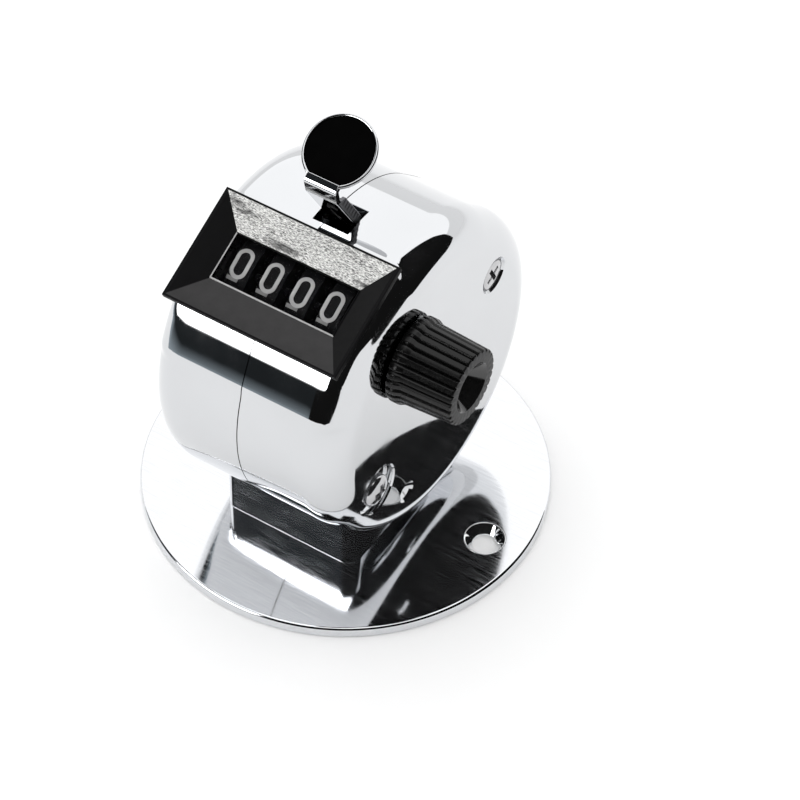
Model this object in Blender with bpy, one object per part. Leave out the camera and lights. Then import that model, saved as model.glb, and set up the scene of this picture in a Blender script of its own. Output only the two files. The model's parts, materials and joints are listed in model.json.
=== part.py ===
"""Desk-mounted hand tally counter with four number wheels.

The axes are +X to the counter's right, +Y to its back and +Z up. The origin
is the centre of the base's underside. Sizes are in millimetres here, and
are turned into metres where meshes and locations are made.
"""

from math import atan2, cos, pi, radians, sin, sqrt

import bmesh
import bpy
from mathutils import Matrix, Vector

MM = 0.001

# ---------------------------------------------------------------- dimensions
CLEARANCE = 0.3             # gap kept between neighbouring pieces

BASE_RADIUS = 27.5
BASE_THICKNESS = 1.6
BASE_EDGE = 0.35
BASE_HOLE_OFFSET = 21.9     # mounting holes, left and right of the centre
BASE_HOLE_RADIUS = 1.6
BASE_SINK_RADIUS = 2.65

PEDESTAL_HALF_WIDTH = 10.2
PEDESTAL_FRONT = -13.8
PEDESTAL_BACK = 12.5
PEDESTAL_TOP = 13.0
PEDESTAL_CORNER = 2.0
PEDESTAL_FOOT = 0.5         # radius of the concave fillet at its foot

BODY_HALF_WIDTH = 14.2
BODY_FILLET = 4.8
WALL = 1.3
SEAM_HALF_GAP = 0.15
FRONT_CIRCLE = (-2.2, 29.65, 22.1)      # y, z and radius
REAR_CIRCLE = (1.0, 26.1, 22.5)
BODY_FACETS = 48
FILLET_STEPS = 3

WINDOW_TOP_EDGE = Vector((0, -7.25, 52.9))
WINDOW_BOTTOM_EDGE = Vector((0, -21.45, 46.1))
BEZEL_WIDTH = 25.4
BEZEL_HEIGHT = 15.75
BEZEL_RIM = 0.9             # thickness of the part that shows
BEZEL_LIP = 0.45            # flat edge round the funnel
BEZEL_DEPTH = 1.8
NECK_WIDTH = 21.6           # part of the bezel that sits in the window hole
NECK_HEIGHT = 10.0
OPENING_WIDTH = 17.8
OPENING_HEIGHT = 6.3
OPENING_RISE = 0.27
LENS_THICKNESS = 0.4

WHEEL_AXIS = (-7.6, 38.5)   # y and z of the number wheels' axis
WHEEL_RADIUS = 10.0
WHEEL_PITCH = 4.43
DRUM_WIDTH = 2.9
RING_WIDTH = 0.6            # gear rings at the two sides of a drum
WHEEL_BORE = 2.0
SHAFT_RADIUS = 1.6
SHAFT_LEFT_END = -12.4
SHAFT_RIGHT_END = 20.5

GEAR_MODULE = 0.78
GEAR_TEETH = 20
PINION_TEETH = 8
PINION_DIRECTION = radians(-30)
PINION_WIDTH = 1.2
PINION_BORE = 1.0
PINION_SHAFT_RADIUS = 0.7
CARRY_ROOT = 5.6
CARRY_TIP = 6.85            # stops just short of the pinions' tips
CARRY_ANGLE = radians(21)
RATCHET_TEETH = 10
RATCHET_TIP = 8.2
RATCHET_FLANK = 7.6
RATCHET_ROOT = 6.8
RATCHET_WIDTH = 1.1

PLATE_INNER = 10.4          # x of the side plates' inner faces
PLATE_THICKNESS = 0.8
SPACER_RADIUS = 1.5
SPACER_FRONT = (-9.0, 25.5)
SPACER_LOWER = (0.5, 18.5)

LEVER_PIVOT = (5.0, 44.0)
LEVER_X = 1.0               # the lever is a little right of the seam
LEVER_WIDTH = 4.6
LEVER_SHEET = 0.8
LEVER_FOLD = (-6.9, 60.11)   # y and z of the bend below the thumb pad
LEVER_KNEE = (-0.7, 49.8)
LEVER_RIB = 1.3             # depth of the stiffening flanges, behind the leg
SLOT_FRONT = -5.0
SLOT_BACK = -0.2
SLIT_LENGTH = 1.1
SLIT_HALF_WIDTH = 3.4
PAD_RADIUS = 4.85
PAD_CENTRE = (-2.7, 62.28)
PAD_TILT = radians(30)
PAD_RIM = 0.45
HUB_RADIUS = 1.9
HUB_BORE = 1.15
PIVOT_PIN_RADIUS = 0.85
HUB_LEFT = -3.2
HUB_RIGHT = 9.6

PAWL_PIN = (4.6, 38.6)
PAWL_PIN_RADIUS = 0.6
PAWL_THICKNESS = 0.7
PAWL_X = 8.52
PAWL_LENGTH = 4.2

SPRING_WIRE = 0.25
SPRING_COIL = 1.7
SPRING_TURNS = 4
SPRING_LEFT = -8.6

KNOB_INNER = 14.5
KNOB_FLANGE_RADIUS = 5.9
KNOB_FLANGE_END = 16.2
KNOB_NECK_RADIUS = 5.45
KNOB_TIP_RADIUS = 5.1
KNOB_OUTER = 23.5
KNOB_FLUTES = 28
KNOB_FLUTE_DEPTH = 0.35
KNOB_RECESS_RADIUS = 3.1
KNOB_RECESS_DEPTH = 2.4
SHAFT_HOLE = 2.2

REAR_SCREW = (12.55, 35.75)
FRONT_SCREW = (-14.1, 19.6)
SCREW_HEAD_RADIUS = 2.25
SCREW_HEAD_HEIGHT = 1.3
SCREW_SHANK_RADIUS = 1.25
COUNTERBORE_RADIUS = 3.7
COUNTERBORE_DEPTH = 1.3
WASHER_RADIUS = 3.3
WASHER_THICKNESS = 0.5
POST_RADIUS = 3.1

BASE_SCREW = (5.2, 1.0)     # x and y of the right one
BASE_SCREW_HEAD = 2.4
BASE_SCREW_RECESS = 1.7

ACROSS = (WINDOW_TOP_EDGE - WINDOW_BOTTOM_EDGE).normalized()
OUTWARD = Vector((1, 0, 0)).cross(ACROSS)
WINDOW_CENTRE = (WINDOW_TOP_EDGE + WINDOW_BOTTOM_EDGE) / 2


# ------------------------------------------------------------------- helpers
def clear_scene():
    for item in list(bpy.data.objects):
        bpy.data.objects.remove(item, do_unlink=True)


def make_material(name, colour, roughness, metallic=0.0):
    material = bpy.data.materials.new(name)
    material.use_nodes = True
    shader = material.node_tree.nodes["Principled BSDF"]
    shader.inputs["Base Color"].default_value = (*colour, 1.0)
    shader.inputs["Roughness"].default_value = roughness
    shader.inputs["Metallic"].default_value = metallic
    return material


def make_object(name, bm, material=None, location=(0, 0, 0)):
    """Turn a bmesh in millimetres into a linked object in metres."""
    bmesh.ops.remove_doubles(bm, verts=bm.verts, dist=0.001)
    bmesh.ops.recalc_face_normals(bm, faces=bm.faces)
    bmesh.ops.scale(bm, vec=(MM, MM, MM), verts=bm.verts)
    mesh = bpy.data.meshes.new(name)
    bm.to_mesh(mesh)
    bm.free()
    mesh.shade_smooth()
    mesh.set_sharp_from_angle(angle=radians(32))
    if material:
        mesh.materials.append(material)
    item = bpy.data.objects.new(name, mesh)
    item.location = Vector(location) * MM
    bpy.context.scene.collection.objects.link(item)
    return item


def combine(item, tool, operation):
    """Cut, or join, a hidden guide object into an item."""
    tool.hide_render = True
    tool.display_type = "WIRE"
    modifier = item.modifiers.new(operation.lower() + "_" + tool.name, "BOOLEAN")
    modifier.operation = operation
    modifier.object = tool
    modifier.solver = "EXACT"


def cut(item, *tools):
    for tool in tools:
        combine(item, tool, "DIFFERENCE")


def join(item, *tools):
    for tool in tools:
        combine(item, tool, "UNION")


def prism(name, outline, start, end, material=None, location=(0, 0, 0), axis="x"):
    """Extrude a closed 2D outline along X (outline in y, z) or Z (in x, y)."""
    bm = bmesh.new()
    if axis == "x":
        ring = [bm.verts.new((start, a, b)) for a, b in outline]
        step = Vector((end - start, 0, 0))
    else:
        ring = [bm.verts.new((a, b, start)) for a, b in outline]
        step = Vector((0, 0, end - start))
    face = bm.faces.new(ring)
    moved = bmesh.ops.extrude_face_region(bm, geom=[face])["geom"]
    corners = [part for part in moved if isinstance(part, bmesh.types.BMVert)]
    bmesh.ops.translate(bm, vec=step, verts=corners)
    return make_object(name, bm, material, location)


def turned(name, profile, segments, material=None, location=(0, 0, 0), axis="x", closed=False):
    """Turn a profile of (distance along the axis, radius) pairs.

    An open profile starts and ends on the axis; a closed one has a bore.
    """
    if axis == "x":
        points = [(along, 0, radius) for along, radius in profile]
        direction = (1, 0, 0)
    else:
        points = [(radius, 0, along) for along, radius in profile]
        direction = (0, 0, 1)
    bm = bmesh.new()
    corners = [bm.verts.new(point) for point in points]
    lines = [bm.edges.new(pair) for pair in zip(corners, corners[1:])]
    if closed:
        lines.append(bm.edges.new((corners[-1], corners[0])))
    bmesh.ops.spin(
        bm, geom=corners + lines, cent=(0, 0, 0), axis=direction,
        angle=2 * pi, steps=segments, use_merge=True,
    )
    return make_object(name, bm, material, location)


def cylinder(name, radius, start, end, segments, material=None, location=(0, 0, 0), axis="x"):
    profile = [(start, 0), (start, radius), (end, radius), (end, 0)]
    return turned(name, profile, segments, material, location, axis)


def loft(name, rings, material=None, location=(0, 0, 0), closed=False):
    """Bridge a row of rings with equal point counts, and close the ends."""
    bm = bmesh.new()
    loops = []
    for ring in rings:
        corners = [bm.verts.new(point) for point in ring]
        pairs = zip(corners, corners[1:] + corners[:1])
        loops.append([bm.edges.new(pair) for pair in pairs])
    following = loops[1:] + (loops[:1] if closed else [])
    for lower, upper in zip(loops, following):
        bmesh.ops.bridge_loops(bm, edges=lower + upper)
    if not closed:
        bmesh.ops.contextual_create(bm, geom=loops[0])
        bmesh.ops.contextual_create(bm, geom=loops[-1])
    return make_object(name, bm, material, location)


def hull(name, points, material=None):
    bm = bmesh.new()
    corners = [bm.verts.new(point) for point in points]
    result = bmesh.ops.convex_hull(bm, input=corners)
    spare = set(result["geom_interior"] + result["geom_unused"])
    bmesh.ops.delete(bm, geom=list(spare), context="VERTS")
    return make_object(name, bm, material)


def hull_outline(circles, inset=0.0, count=32):
    """Outline round a set of circles (a, b, radius), drawn in by inset."""
    outline = []
    for step in range(count):
        angle = 2 * pi * step / count
        a, b = cos(angle), sin(angle)
        centre = max(circles, key=lambda circle: circle[0] * a + circle[1] * b + circle[2])
        reach = centre[2] - inset
        outline.append((centre[0] + reach * a, centre[1] + reach * b))
    return outline


def window_point(x, rise, depth):
    """A point in the window's own frame: across, up its slope, and inwards."""
    return WINDOW_CENTRE + Vector((x, 0, 0)) + ACROSS * rise - OUTWARD * depth


def window_rectangle(width, height, depth, rise=0.0):
    corners = ((-1, -1), (1, -1), (1, 1), (-1, 1))
    return [window_point(a * width / 2, rise + b * height / 2, depth) for a, b in corners]


def gear_outline(teeth, root, tip, root_share, tip_share, phase=0.0):
    """Outline of straight-sided teeth; shares are of the tooth pitch."""
    outline = []
    pitch = 2 * pi / teeth
    for tooth in range(teeth):
        middle = phase + tooth * pitch
        for offset, radius in (
            (-root_share, root), (-tip_share, tip), (tip_share, tip), (root_share, root),
        ):
            angle = middle + offset * pitch / 2
            outline.append((radius * cos(angle), radius * sin(angle)))
    return outline


def on_axis(x, centre):
    return (x, centre[0], centre[1])


# ---------------------------------------------------------------------- base
def build_base(material):
    base = turned(
        "base",
        [
            (0, 0), (0, BASE_RADIUS - BASE_EDGE), (BASE_EDGE, BASE_RADIUS),
            (BASE_THICKNESS - BASE_EDGE, BASE_RADIUS),
            (BASE_THICKNESS, BASE_RADIUS - BASE_EDGE), (BASE_THICKNESS, 0),
        ],
        60, material, axis="z",
    )
    pedestal = loft("pedestal_form", pedestal_rings())
    saddle = prism(
        "saddle_form", hull_outline((FRONT_CIRCLE, REAR_CIRCLE), -CLEARANCE, BODY_FACETS), -20, 20
    )
    cut(pedestal, saddle)
    join(base, pedestal)
    for side in (-1, 1):
        cut(base, mounting_hole(side), base_screw_hole(side))
    return base


def pedestal_rings():
    """Rounded rectangles with a small concave fillet where they meet the disc."""
    foot_steps = 2
    levels = [(BASE_THICKNESS / 2, PEDESTAL_FOOT)]
    for step in range(foot_steps + 1):
        angle = pi / 2 * step / foot_steps
        height = BASE_THICKNESS - 0.02 + PEDESTAL_FOOT * (1 - cos(angle))
        levels.append((height, PEDESTAL_FOOT * (1 - sin(angle))))
    levels.append((PEDESTAL_TOP, 0.0))
    rings = []
    for height, flare in levels:
        inset_x = PEDESTAL_HALF_WIDTH - PEDESTAL_CORNER
        circles = [
            (side * inset_x, end, PEDESTAL_CORNER + flare)
            for side in (-1, 1)
            for end in (PEDESTAL_FRONT + PEDESTAL_CORNER, PEDESTAL_BACK - PEDESTAL_CORNER)
        ]
        rings.append([(a, b, height) for a, b in rounded_corners(circles, 3)])
    return rings


def rounded_corners(circles, steps):
    """Outline round four corner circles, each corner in a few steps."""
    outline = []
    for turn in range(4):
        start = turn * pi / 2
        for step in range(steps + 1):
            angle = start + pi / 2 * step / steps
            a, b = cos(angle), sin(angle)
            middle = start + pi / 4
            corner = max(circles, key=lambda c: c[0] * cos(middle) + c[1] * sin(middle))
            outline.append((corner[0] + corner[2] * a, corner[1] + corner[2] * b))
    return outline


def mounting_hole(side):
    sink_depth = BASE_SINK_RADIUS - BASE_HOLE_RADIUS
    top = BASE_THICKNESS
    return turned(
        "mounting_hole_form_" + side_name(side),
        [
            (-1, 0), (-1, BASE_HOLE_RADIUS), (top - sink_depth, BASE_HOLE_RADIUS),
            (top + 1, BASE_SINK_RADIUS + 1), (top + 1, 0),
        ],
        18, location=(side * BASE_HOLE_OFFSET, 0, 0), axis="z",
    )


def base_screw_hole(side):
    head = BASE_SCREW_HEAD + CLEARANCE
    shank = SCREW_SHANK_RADIUS + CLEARANCE
    return turned(
        "base_screw_hole_form_" + side_name(side),
        [
            (-1, 0), (-1, head), (BASE_SCREW_RECESS, head), (BASE_SCREW_RECESS, shank),
            (8, shank), (8, 0),
        ],
        14, location=(side * BASE_SCREW[0], BASE_SCREW[1], 0), axis="z",
    )


def build_base_screw(side, material):
    """Pan-head screw that goes up through the base into one body half."""
    head_bottom = 0.3
    screw = turned(
        "base_screw_" + side_name(side),
        [
            (head_bottom, 0), (head_bottom, BASE_SCREW_HEAD * 0.75),
            (head_bottom + 0.4, BASE_SCREW_HEAD), (BASE_SCREW_RECESS - 0.05, BASE_SCREW_HEAD),
            (BASE_SCREW_RECESS - 0.05, SCREW_SHANK_RADIUS), (10.5, SCREW_SHANK_RADIUS),
            (11.0, SCREW_SHANK_RADIUS * 0.6), (11.0, 0),
        ],
        14, material, (side * BASE_SCREW[0], BASE_SCREW[1], 0), axis="z",
    )
    cut(screw, *cross_recess("base_screw_" + side_name(side), screw.location / MM, "z"))
    return screw


def cross_recess(name, location, axis, face=0.0, depth=0.8):
    """Two crossed blades that sink a cross recess into a screw's head."""
    long_half, thin_half = 1.3, 0.32
    blades = []
    for turn in range(2):
        a, b = (long_half, thin_half) if turn else (thin_half, long_half)
        outline = [(-a, -b), (a, -b), (a, b), (-a, b)]
        low, high = sorted((face - 1.0, face + depth))
        if axis == "x":
            low, high = sorted((face + 1.0, face - depth))
        blades.append(prism(f"{name}_blade_{turn}", outline, low, high, None, location, axis))
    return blades


# ---------------------------------------------------------------------- body
def side_name(side):
    return "right" if side > 0 else "left"


def drum_form(name, inset, material=None):
    """Drum-shaped body between two flat sides, with both rims rounded."""
    width = BODY_HALF_WIDTH - inset
    fillet = BODY_FILLET - inset
    levels = []
    for step in range(FILLET_STEPS + 1):
        angle = pi / 2 * step / FILLET_STEPS
        levels.append((width - fillet + fillet * sin(angle), inset + fillet * (1 - cos(angle))))
    levels = [(-x, drawn_in) for x, drawn_in in reversed(levels)] + levels
    rings = []
    for x, drawn_in in levels:
        outline = hull_outline((FRONT_CIRCLE, REAR_CIRCLE), drawn_in, BODY_FACETS)
        rings.append([(x, a, b) for a, b in outline])
    return loft(name, rings, material)


def collar_form(name):
    """Raised seat under the bezel that runs out into the drum's skin."""
    seat_depth = BEZEL_RIM + CLEARANCE
    seat_half = BEZEL_WIDTH / 2 - 0.3
    rise = BEZEL_HEIGHT / 2 - 0.4
    circle_y, circle_z, radius = FRONT_CIRCLE
    points = []
    for side in (-1, 1):
        for half_width, sink in ((seat_half, 0), (seat_half - 1.5, 3.5)):
            points.append(window_point(side * half_width, rise, seat_depth + sink))
            points.append(window_point(side * half_width, -rise, seat_depth + sink))
        for angle, half_width in ((radians(169), 9.6), (radians(93), 10.5)):
            for depth in (0.25, 3.0):
                a, b = (radius - depth) * cos(angle), (radius - depth) * sin(angle)
                points.append(Vector((side * half_width, circle_y + a, circle_z + b)))
    return hull("collar_form_" + name, points)


def window_hole_form(name):
    rings = [
        window_rectangle(NECK_WIDTH + 2 * CLEARANCE, NECK_HEIGHT + 2 * CLEARANCE, depth)
        for depth in (-1.0, 7.0)
    ]
    return loft("window_hole_form_" + name, rings)


def lever_slot_forms(shell_name):
    """Notch that the lever swings in, and the wider slit at its back."""
    top, bottom = 56.0, 46.0
    notch_half = LEVER_WIDTH / 2 + CLEARANCE
    boxes = (
        (LEVER_X - notch_half, LEVER_X + notch_half, SLOT_FRONT, SLOT_BACK),
        (-SLIT_HALF_WIDTH, LEVER_X + notch_half, SLOT_BACK - SLIT_LENGTH, SLOT_BACK),
    )
    forms = []
    for number, (left, right, front, back) in enumerate(boxes):
        outline = [(left, front), (right, front), (right, back), (left, back)]
        forms.append(prism(f"slot_form_{number}_{shell_name}", outline, bottom, top, axis="z"))
    return forms


def build_shell(side, material):
    """Half of the hollow body: the whole one, less what lies past the seam."""
    name = side_name(side)
    shell = drum_form("shell_" + name, 0, material)
    join(shell, collar_form(name))
    cut(shell, drum_form("cavity_form_" + name, WALL))
    join(shell, *screw_posts(name))
    cut(shell, window_hole_form(name), *lever_slot_forms(name), *shell_holes(name))
    near, far = sorted((-side * 20, side * SEAM_HALF_GAP))
    outline = [(-30, 0), (30, 0), (30, 60), (-30, 60)]
    cut(shell, prism("other_half_form_" + name, outline, near, far))
    return shell


def screw_posts(name):
    """Posts between the two sides, and a foot above each base screw."""
    outer = BODY_HALF_WIDTH - WALL / 2
    floor = body_floor(BASE_SCREW[1]) + WALL / 2
    posts = []
    for label, centre in (("rear", REAR_SCREW), ("front", FRONT_SCREW)):
        place = on_axis(0, centre)
        post = cylinder(f"{label}_post_form_{name}", POST_RADIUS, -outer, outer, 14, location=place)
        posts.append(post)
    for side in (-1, 1):
        place = (side * BASE_SCREW[0], BASE_SCREW[1], 0)
        label = f"foot_form_{name}_{side_name(side)}"
        posts.append(cylinder(label, POST_RADIUS, floor, 12.5, 14, location=place, axis="z"))
    return posts


def body_floor(y):
    """Height of the drum's underside at a given y."""
    centre_y, centre_z, radius = REAR_CIRCLE
    return centre_z - sqrt(radius ** 2 - (y - centre_y) ** 2)


def shell_holes(name):
    """Holes for the case screws, the base screws and the wheel shaft."""
    shank = SCREW_SHANK_RADIUS + CLEARANCE
    head = SCREW_HEAD_RADIUS + CLEARANCE
    bore = COUNTERBORE_RADIUS
    face = BODY_HALF_WIDTH
    blind = 2.5 - BODY_HALF_WIDTH
    sink = face - SCREW_HEAD_HEIGHT
    floor = face - COUNTERBORE_DEPTH
    rear = turned(
        "rear_screw_hole_form_" + name,
        [(blind, 0), (blind, shank), (sink, shank), (face, head), (face + 1, head), (face + 1, 0)],
        16, location=on_axis(0, REAR_SCREW),
    )
    front = turned(
        "front_screw_hole_form_" + name,
        [(blind, 0), (blind, shank), (floor, shank), (floor, bore), (face + 1, bore), (face + 1, 0)],
        20, location=on_axis(0, FRONT_SCREW),
    )
    holes = [rear, front]
    holes.append(
        cylinder("shaft_hole_form_" + name, SHAFT_HOLE, 8, 18, 16, location=on_axis(0, WHEEL_AXIS))
    )
    for side in (-1, 1):
        place = (side * BASE_SCREW[0], BASE_SCREW[1], 0)
        label = f"foot_hole_form_{name}_{side_name(side)}"
        holes.append(cylinder(label, shank, 2, 11.7, 12, location=place, axis="z"))
    return holes


def build_bezel(material):
    rings = [
        window_rectangle(BEZEL_WIDTH, BEZEL_HEIGHT, 0),
        window_rectangle(BEZEL_WIDTH, BEZEL_HEIGHT, BEZEL_RIM),
        window_rectangle(NECK_WIDTH, NECK_HEIGHT, BEZEL_RIM),
        window_rectangle(NECK_WIDTH, NECK_HEIGHT, BEZEL_DEPTH),
        window_rectangle(OPENING_WIDTH, OPENING_HEIGHT, BEZEL_DEPTH, OPENING_RISE),
        window_rectangle(BEZEL_WIDTH - 2 * BEZEL_LIP, BEZEL_HEIGHT - 2 * BEZEL_LIP, 0),
    ]
    return loft("bezel", rings, material, closed=True)


def build_lens(material):
    start = BEZEL_DEPTH + CLEARANCE
    rings = [
        window_rectangle(NECK_WIDTH - 1.0, NECK_HEIGHT - 1.0, depth)
        for depth in (start, start + LENS_THICKNESS)
    ]
    return loft("window_lens", rings, material)


# --------------------------------------------------------------- case screws
def build_rear_screw(material):
    face = BODY_HALF_WIDTH - 0.15
    start = face - SCREW_HEAD_HEIGHT
    profile = [
        (-9, 0), (-9, SCREW_SHANK_RADIUS * 0.6), (-8.5, SCREW_SHANK_RADIUS),
        (start, SCREW_SHANK_RADIUS), (face - 0.15, SCREW_HEAD_RADIUS - 0.1),
        (face, SCREW_HEAD_RADIUS - 0.25), (face, 0),
    ]
    location = on_axis(0, REAR_SCREW)
    screw = turned("case_screw_rear", profile, 16, material, location)
    cut(screw, *cross_recess("case_screw_rear", location, "x", face))
    return screw


def build_front_screw(material):
    seat = BODY_HALF_WIDTH - COUNTERBORE_DEPTH + 0.05 + WASHER_THICKNESS + 0.05
    crown = seat + SCREW_HEAD_HEIGHT
    profile = [
        (-9, 0), (-9, SCREW_SHANK_RADIUS * 0.6), (-8.5, SCREW_SHANK_RADIUS),
        (seat, SCREW_SHANK_RADIUS), (seat, SCREW_HEAD_RADIUS),
        (seat + SCREW_HEAD_HEIGHT * 0.5, SCREW_HEAD_RADIUS),
        (crown - 0.15, SCREW_HEAD_RADIUS * 0.7), (crown, 0),
    ]
    location = on_axis(0, FRONT_SCREW)
    screw = turned("case_screw_front", profile, 16, material, location)
    cut(screw, *cross_recess("case_screw_front", location, "x", crown))
    return screw


def build_washer(material):
    seat = BODY_HALF_WIDTH - COUNTERBORE_DEPTH + 0.05
    bore = SCREW_SHANK_RADIUS + 0.2
    end = seat + WASHER_THICKNESS
    profile = [(seat, bore), (seat, WASHER_RADIUS), (end, WASHER_RADIUS - 0.15), (end, bore)]
    return turned(
        "case_screw_washer", profile, 20, material, on_axis(0, FRONT_SCREW), closed=True
    )


# ----------------------------------------------------------- counting wheels
def wheel_x(place):
    """Centre of a wheel; place 0 is the units, at the right."""
    return WHEEL_PITCH * (1.5 - place)


def build_wheel(name, place, material):
    """Drum with its 20-tooth gear on the right and carry teeth on the left."""
    half = DRUM_WIDTH / 2
    location = on_axis(wheel_x(place), WHEEL_AXIS)
    drum = turned(
        name,
        [
            (-half, WHEEL_BORE), (-half, WHEEL_RADIUS), (half, WHEEL_RADIUS), (half, WHEEL_BORE),
        ],
        30, material, location, closed=True,
    )
    rings = []
    if place > 0:
        gear = gear_outline(
            GEAR_TEETH, GEAR_MODULE * (GEAR_TEETH / 2 - 1.25), GEAR_MODULE * (GEAR_TEETH / 2 + 1),
            0.62, 0.28, PINION_DIRECTION + pi / GEAR_TEETH,
        )
        rings.append(prism(name + "_gear_form", gear, 0, half + RING_WIDTH, None, location))
    else:
        ratchet = ratchet_outline()
        rings.append(prism(name + "_ratchet_form", ratchet, 0, half + RATCHET_WIDTH, None, location))
    if place < 3:
        carry = carry_outline()
        rings.append(prism(name + "_carry_form", carry, -half - RING_WIDTH, 0, None, location))
    join(drum, *rings)
    width = half + RATCHET_WIDTH + 1
    cut(drum, cylinder(name + "_bore_form", WHEEL_BORE, -width, width, 16, location=location))
    return drum


def ratchet_outline():
    """Ten saw teeth, one for each digit."""
    outline = []
    pitch = 2 * pi / RATCHET_TEETH
    for tooth in range(RATCHET_TEETH):
        start = tooth * pitch
        for share, radius in ((0.0, RATCHET_ROOT), (0.5, RATCHET_FLANK), (0.92, RATCHET_TIP)):
            angle = start + share * pitch
            outline.append((radius * cos(angle), radius * sin(angle)))
    return outline


def carry_outline():
    """Plain disc with two teeth that step the next wheel once a turn."""
    outline = []
    pitch = 2 * pi / GEAR_TEETH
    for step in range(GEAR_TEETH):
        middle = CARRY_ANGLE + step * pitch
        corners = ((0, CARRY_ROOT),)
        if step < 2:
            corners = ((-0.3, CARRY_ROOT), (-0.14, CARRY_TIP), (0.14, CARRY_TIP), (0.3, CARRY_ROOT))
        for share, radius in corners:
            angle = middle + share * pitch
            outline.append((radius * cos(angle), radius * sin(angle)))
    return outline


def pinion_axis():
    distance = GEAR_MODULE * (GEAR_TEETH + PINION_TEETH) / 2
    return (
        WHEEL_AXIS[0] + distance * cos(PINION_DIRECTION),
        WHEEL_AXIS[1] + distance * sin(PINION_DIRECTION),
    )


def build_pinion(name, place, material):
    """Carry pinion in the gap on the right of the wheel that it turns."""
    location = on_axis(wheel_x(place) + WHEEL_PITCH / 2, pinion_axis())
    outline = gear_outline(
        PINION_TEETH, GEAR_MODULE * (PINION_TEETH / 2 - 1.25), GEAR_MODULE * (PINION_TEETH / 2 + 1),
        0.62, 0.22, PINION_DIRECTION + pi,
    )
    half = PINION_WIDTH / 2
    pinion = prism(name, outline, -half, half, material, location)
    cut(pinion, cylinder(name + "_bore_form", PINION_BORE, -2, 2, 16, location=location))
    return pinion


def build_wheel_shaft(material):
    profile = [
        (SHAFT_LEFT_END, 0), (SHAFT_LEFT_END, SHAFT_RADIUS - 0.3),
        (SHAFT_LEFT_END + 0.3, SHAFT_RADIUS), (SHAFT_RIGHT_END - 0.3, SHAFT_RADIUS),
        (SHAFT_RIGHT_END, SHAFT_RADIUS - 0.3), (SHAFT_RIGHT_END, 0),
    ]
    return turned("wheel_shaft", profile, 16, material, on_axis(0, WHEEL_AXIS))


def build_shaft_clip(material):
    """Open ring that keeps the shaft from sliding out of the left plate."""
    start = -PLATE_INNER - PLATE_THICKNESS - CLEARANCE
    outer = 3.0
    inner = SHAFT_RADIUS + 0.15
    outline = []
    opening = radians(50)
    steps = 14
    for radius, order in ((outer, range(steps + 1)), (inner, range(steps, -1, -1))):
        for step in order:
            angle = opening / 2 + (2 * pi - opening) * step / steps
            outline.append((radius * cos(angle), radius * sin(angle)))
    return prism("shaft_clip", outline, start - 0.5, start, material, on_axis(0, WHEEL_AXIS))


# --------------------------------------------------------------------- frame
def build_plate(side, material):
    circles = (
        (*WHEEL_AXIS, 6.5), (*LEVER_PIVOT, 3.6), (*SPACER_LOWER, 3.6), (*SPACER_FRONT, 3.6),
    )
    start, end = sorted((side * PLATE_INNER, side * (PLATE_INNER + PLATE_THICKNESS)))
    name = side_name(side)
    plate = prism("frame_plate_" + name, hull_outline(circles, 0, 28), start, end, material)
    gap = 0.25
    holes = (
        ("shaft", WHEEL_AXIS, SHAFT_RADIUS), ("pivot", LEVER_PIVOT, PIVOT_PIN_RADIUS),
        ("pinion", pinion_axis(), PINION_SHAFT_RADIUS),
        ("lower", SPACER_LOWER, SPACER_RADIUS * 0.6), ("front", SPACER_FRONT, SPACER_RADIUS * 0.6),
    )
    for label, centre, radius in holes:
        hole = cylinder(f"{label}_hole_form_{name}", radius + gap, start - 1, end + 1, 12,
                        location=on_axis(0, centre))
        cut(plate, hole)
    return plate


def build_spacer(name, centre, material):
    """Rod with a shoulder inside each plate and riveted ends outside."""
    shoulder = PLATE_INNER - 0.2
    end = PLATE_INNER + PLATE_THICKNESS + 0.3
    thin = SPACER_RADIUS * 0.6
    profile = [
        (-end, 0), (-end, thin), (-shoulder, thin), (-shoulder, SPACER_RADIUS),
        (shoulder, SPACER_RADIUS), (shoulder, thin), (end, thin), (end, 0),
    ]
    return turned(name, profile, 12, material, on_axis(0, centre))


def build_pin(name, radius, centre, material):
    end = PLATE_INNER + PLATE_THICKNESS + 0.4
    return cylinder(name, radius, -end, end, 12, material, on_axis(0, centre))


# --------------------------------------------------------------------- lever
def strip(name, points, thickness, left, right, material=None):
    """Bent sheet: a band of even thickness along points in the y-z plane."""
    sides = ([], [])
    for number, point in enumerate(points):
        before = Vector(points[max(number - 1, 0)])
        after = Vector(points[min(number + 1, len(points) - 1)])
        run_in = (Vector(point) - before).normalized() if number else None
        run_out = (after - Vector(point)).normalized() if number < len(points) - 1 else None
        direction = ((run_in or run_out) + (run_out or run_in)).normalized()
        normal = Vector((-direction.y, direction.x))
        leaving = run_out or run_in
        widening = 1 / max(normal.dot(Vector((-leaving.y, leaving.x))), 0.5)
        for band, sign in zip(sides, (1, -1)):
            band.append(Vector(point) + normal * sign * thickness / 2 * widening)
    outline = sides[0] + sides[1][::-1]
    return prism(name, [tuple(point) for point in outline], left, right, material)


def lever_local(point):
    return (point[0] - LEVER_PIVOT[0], point[1] - LEVER_PIVOT[1])


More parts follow.
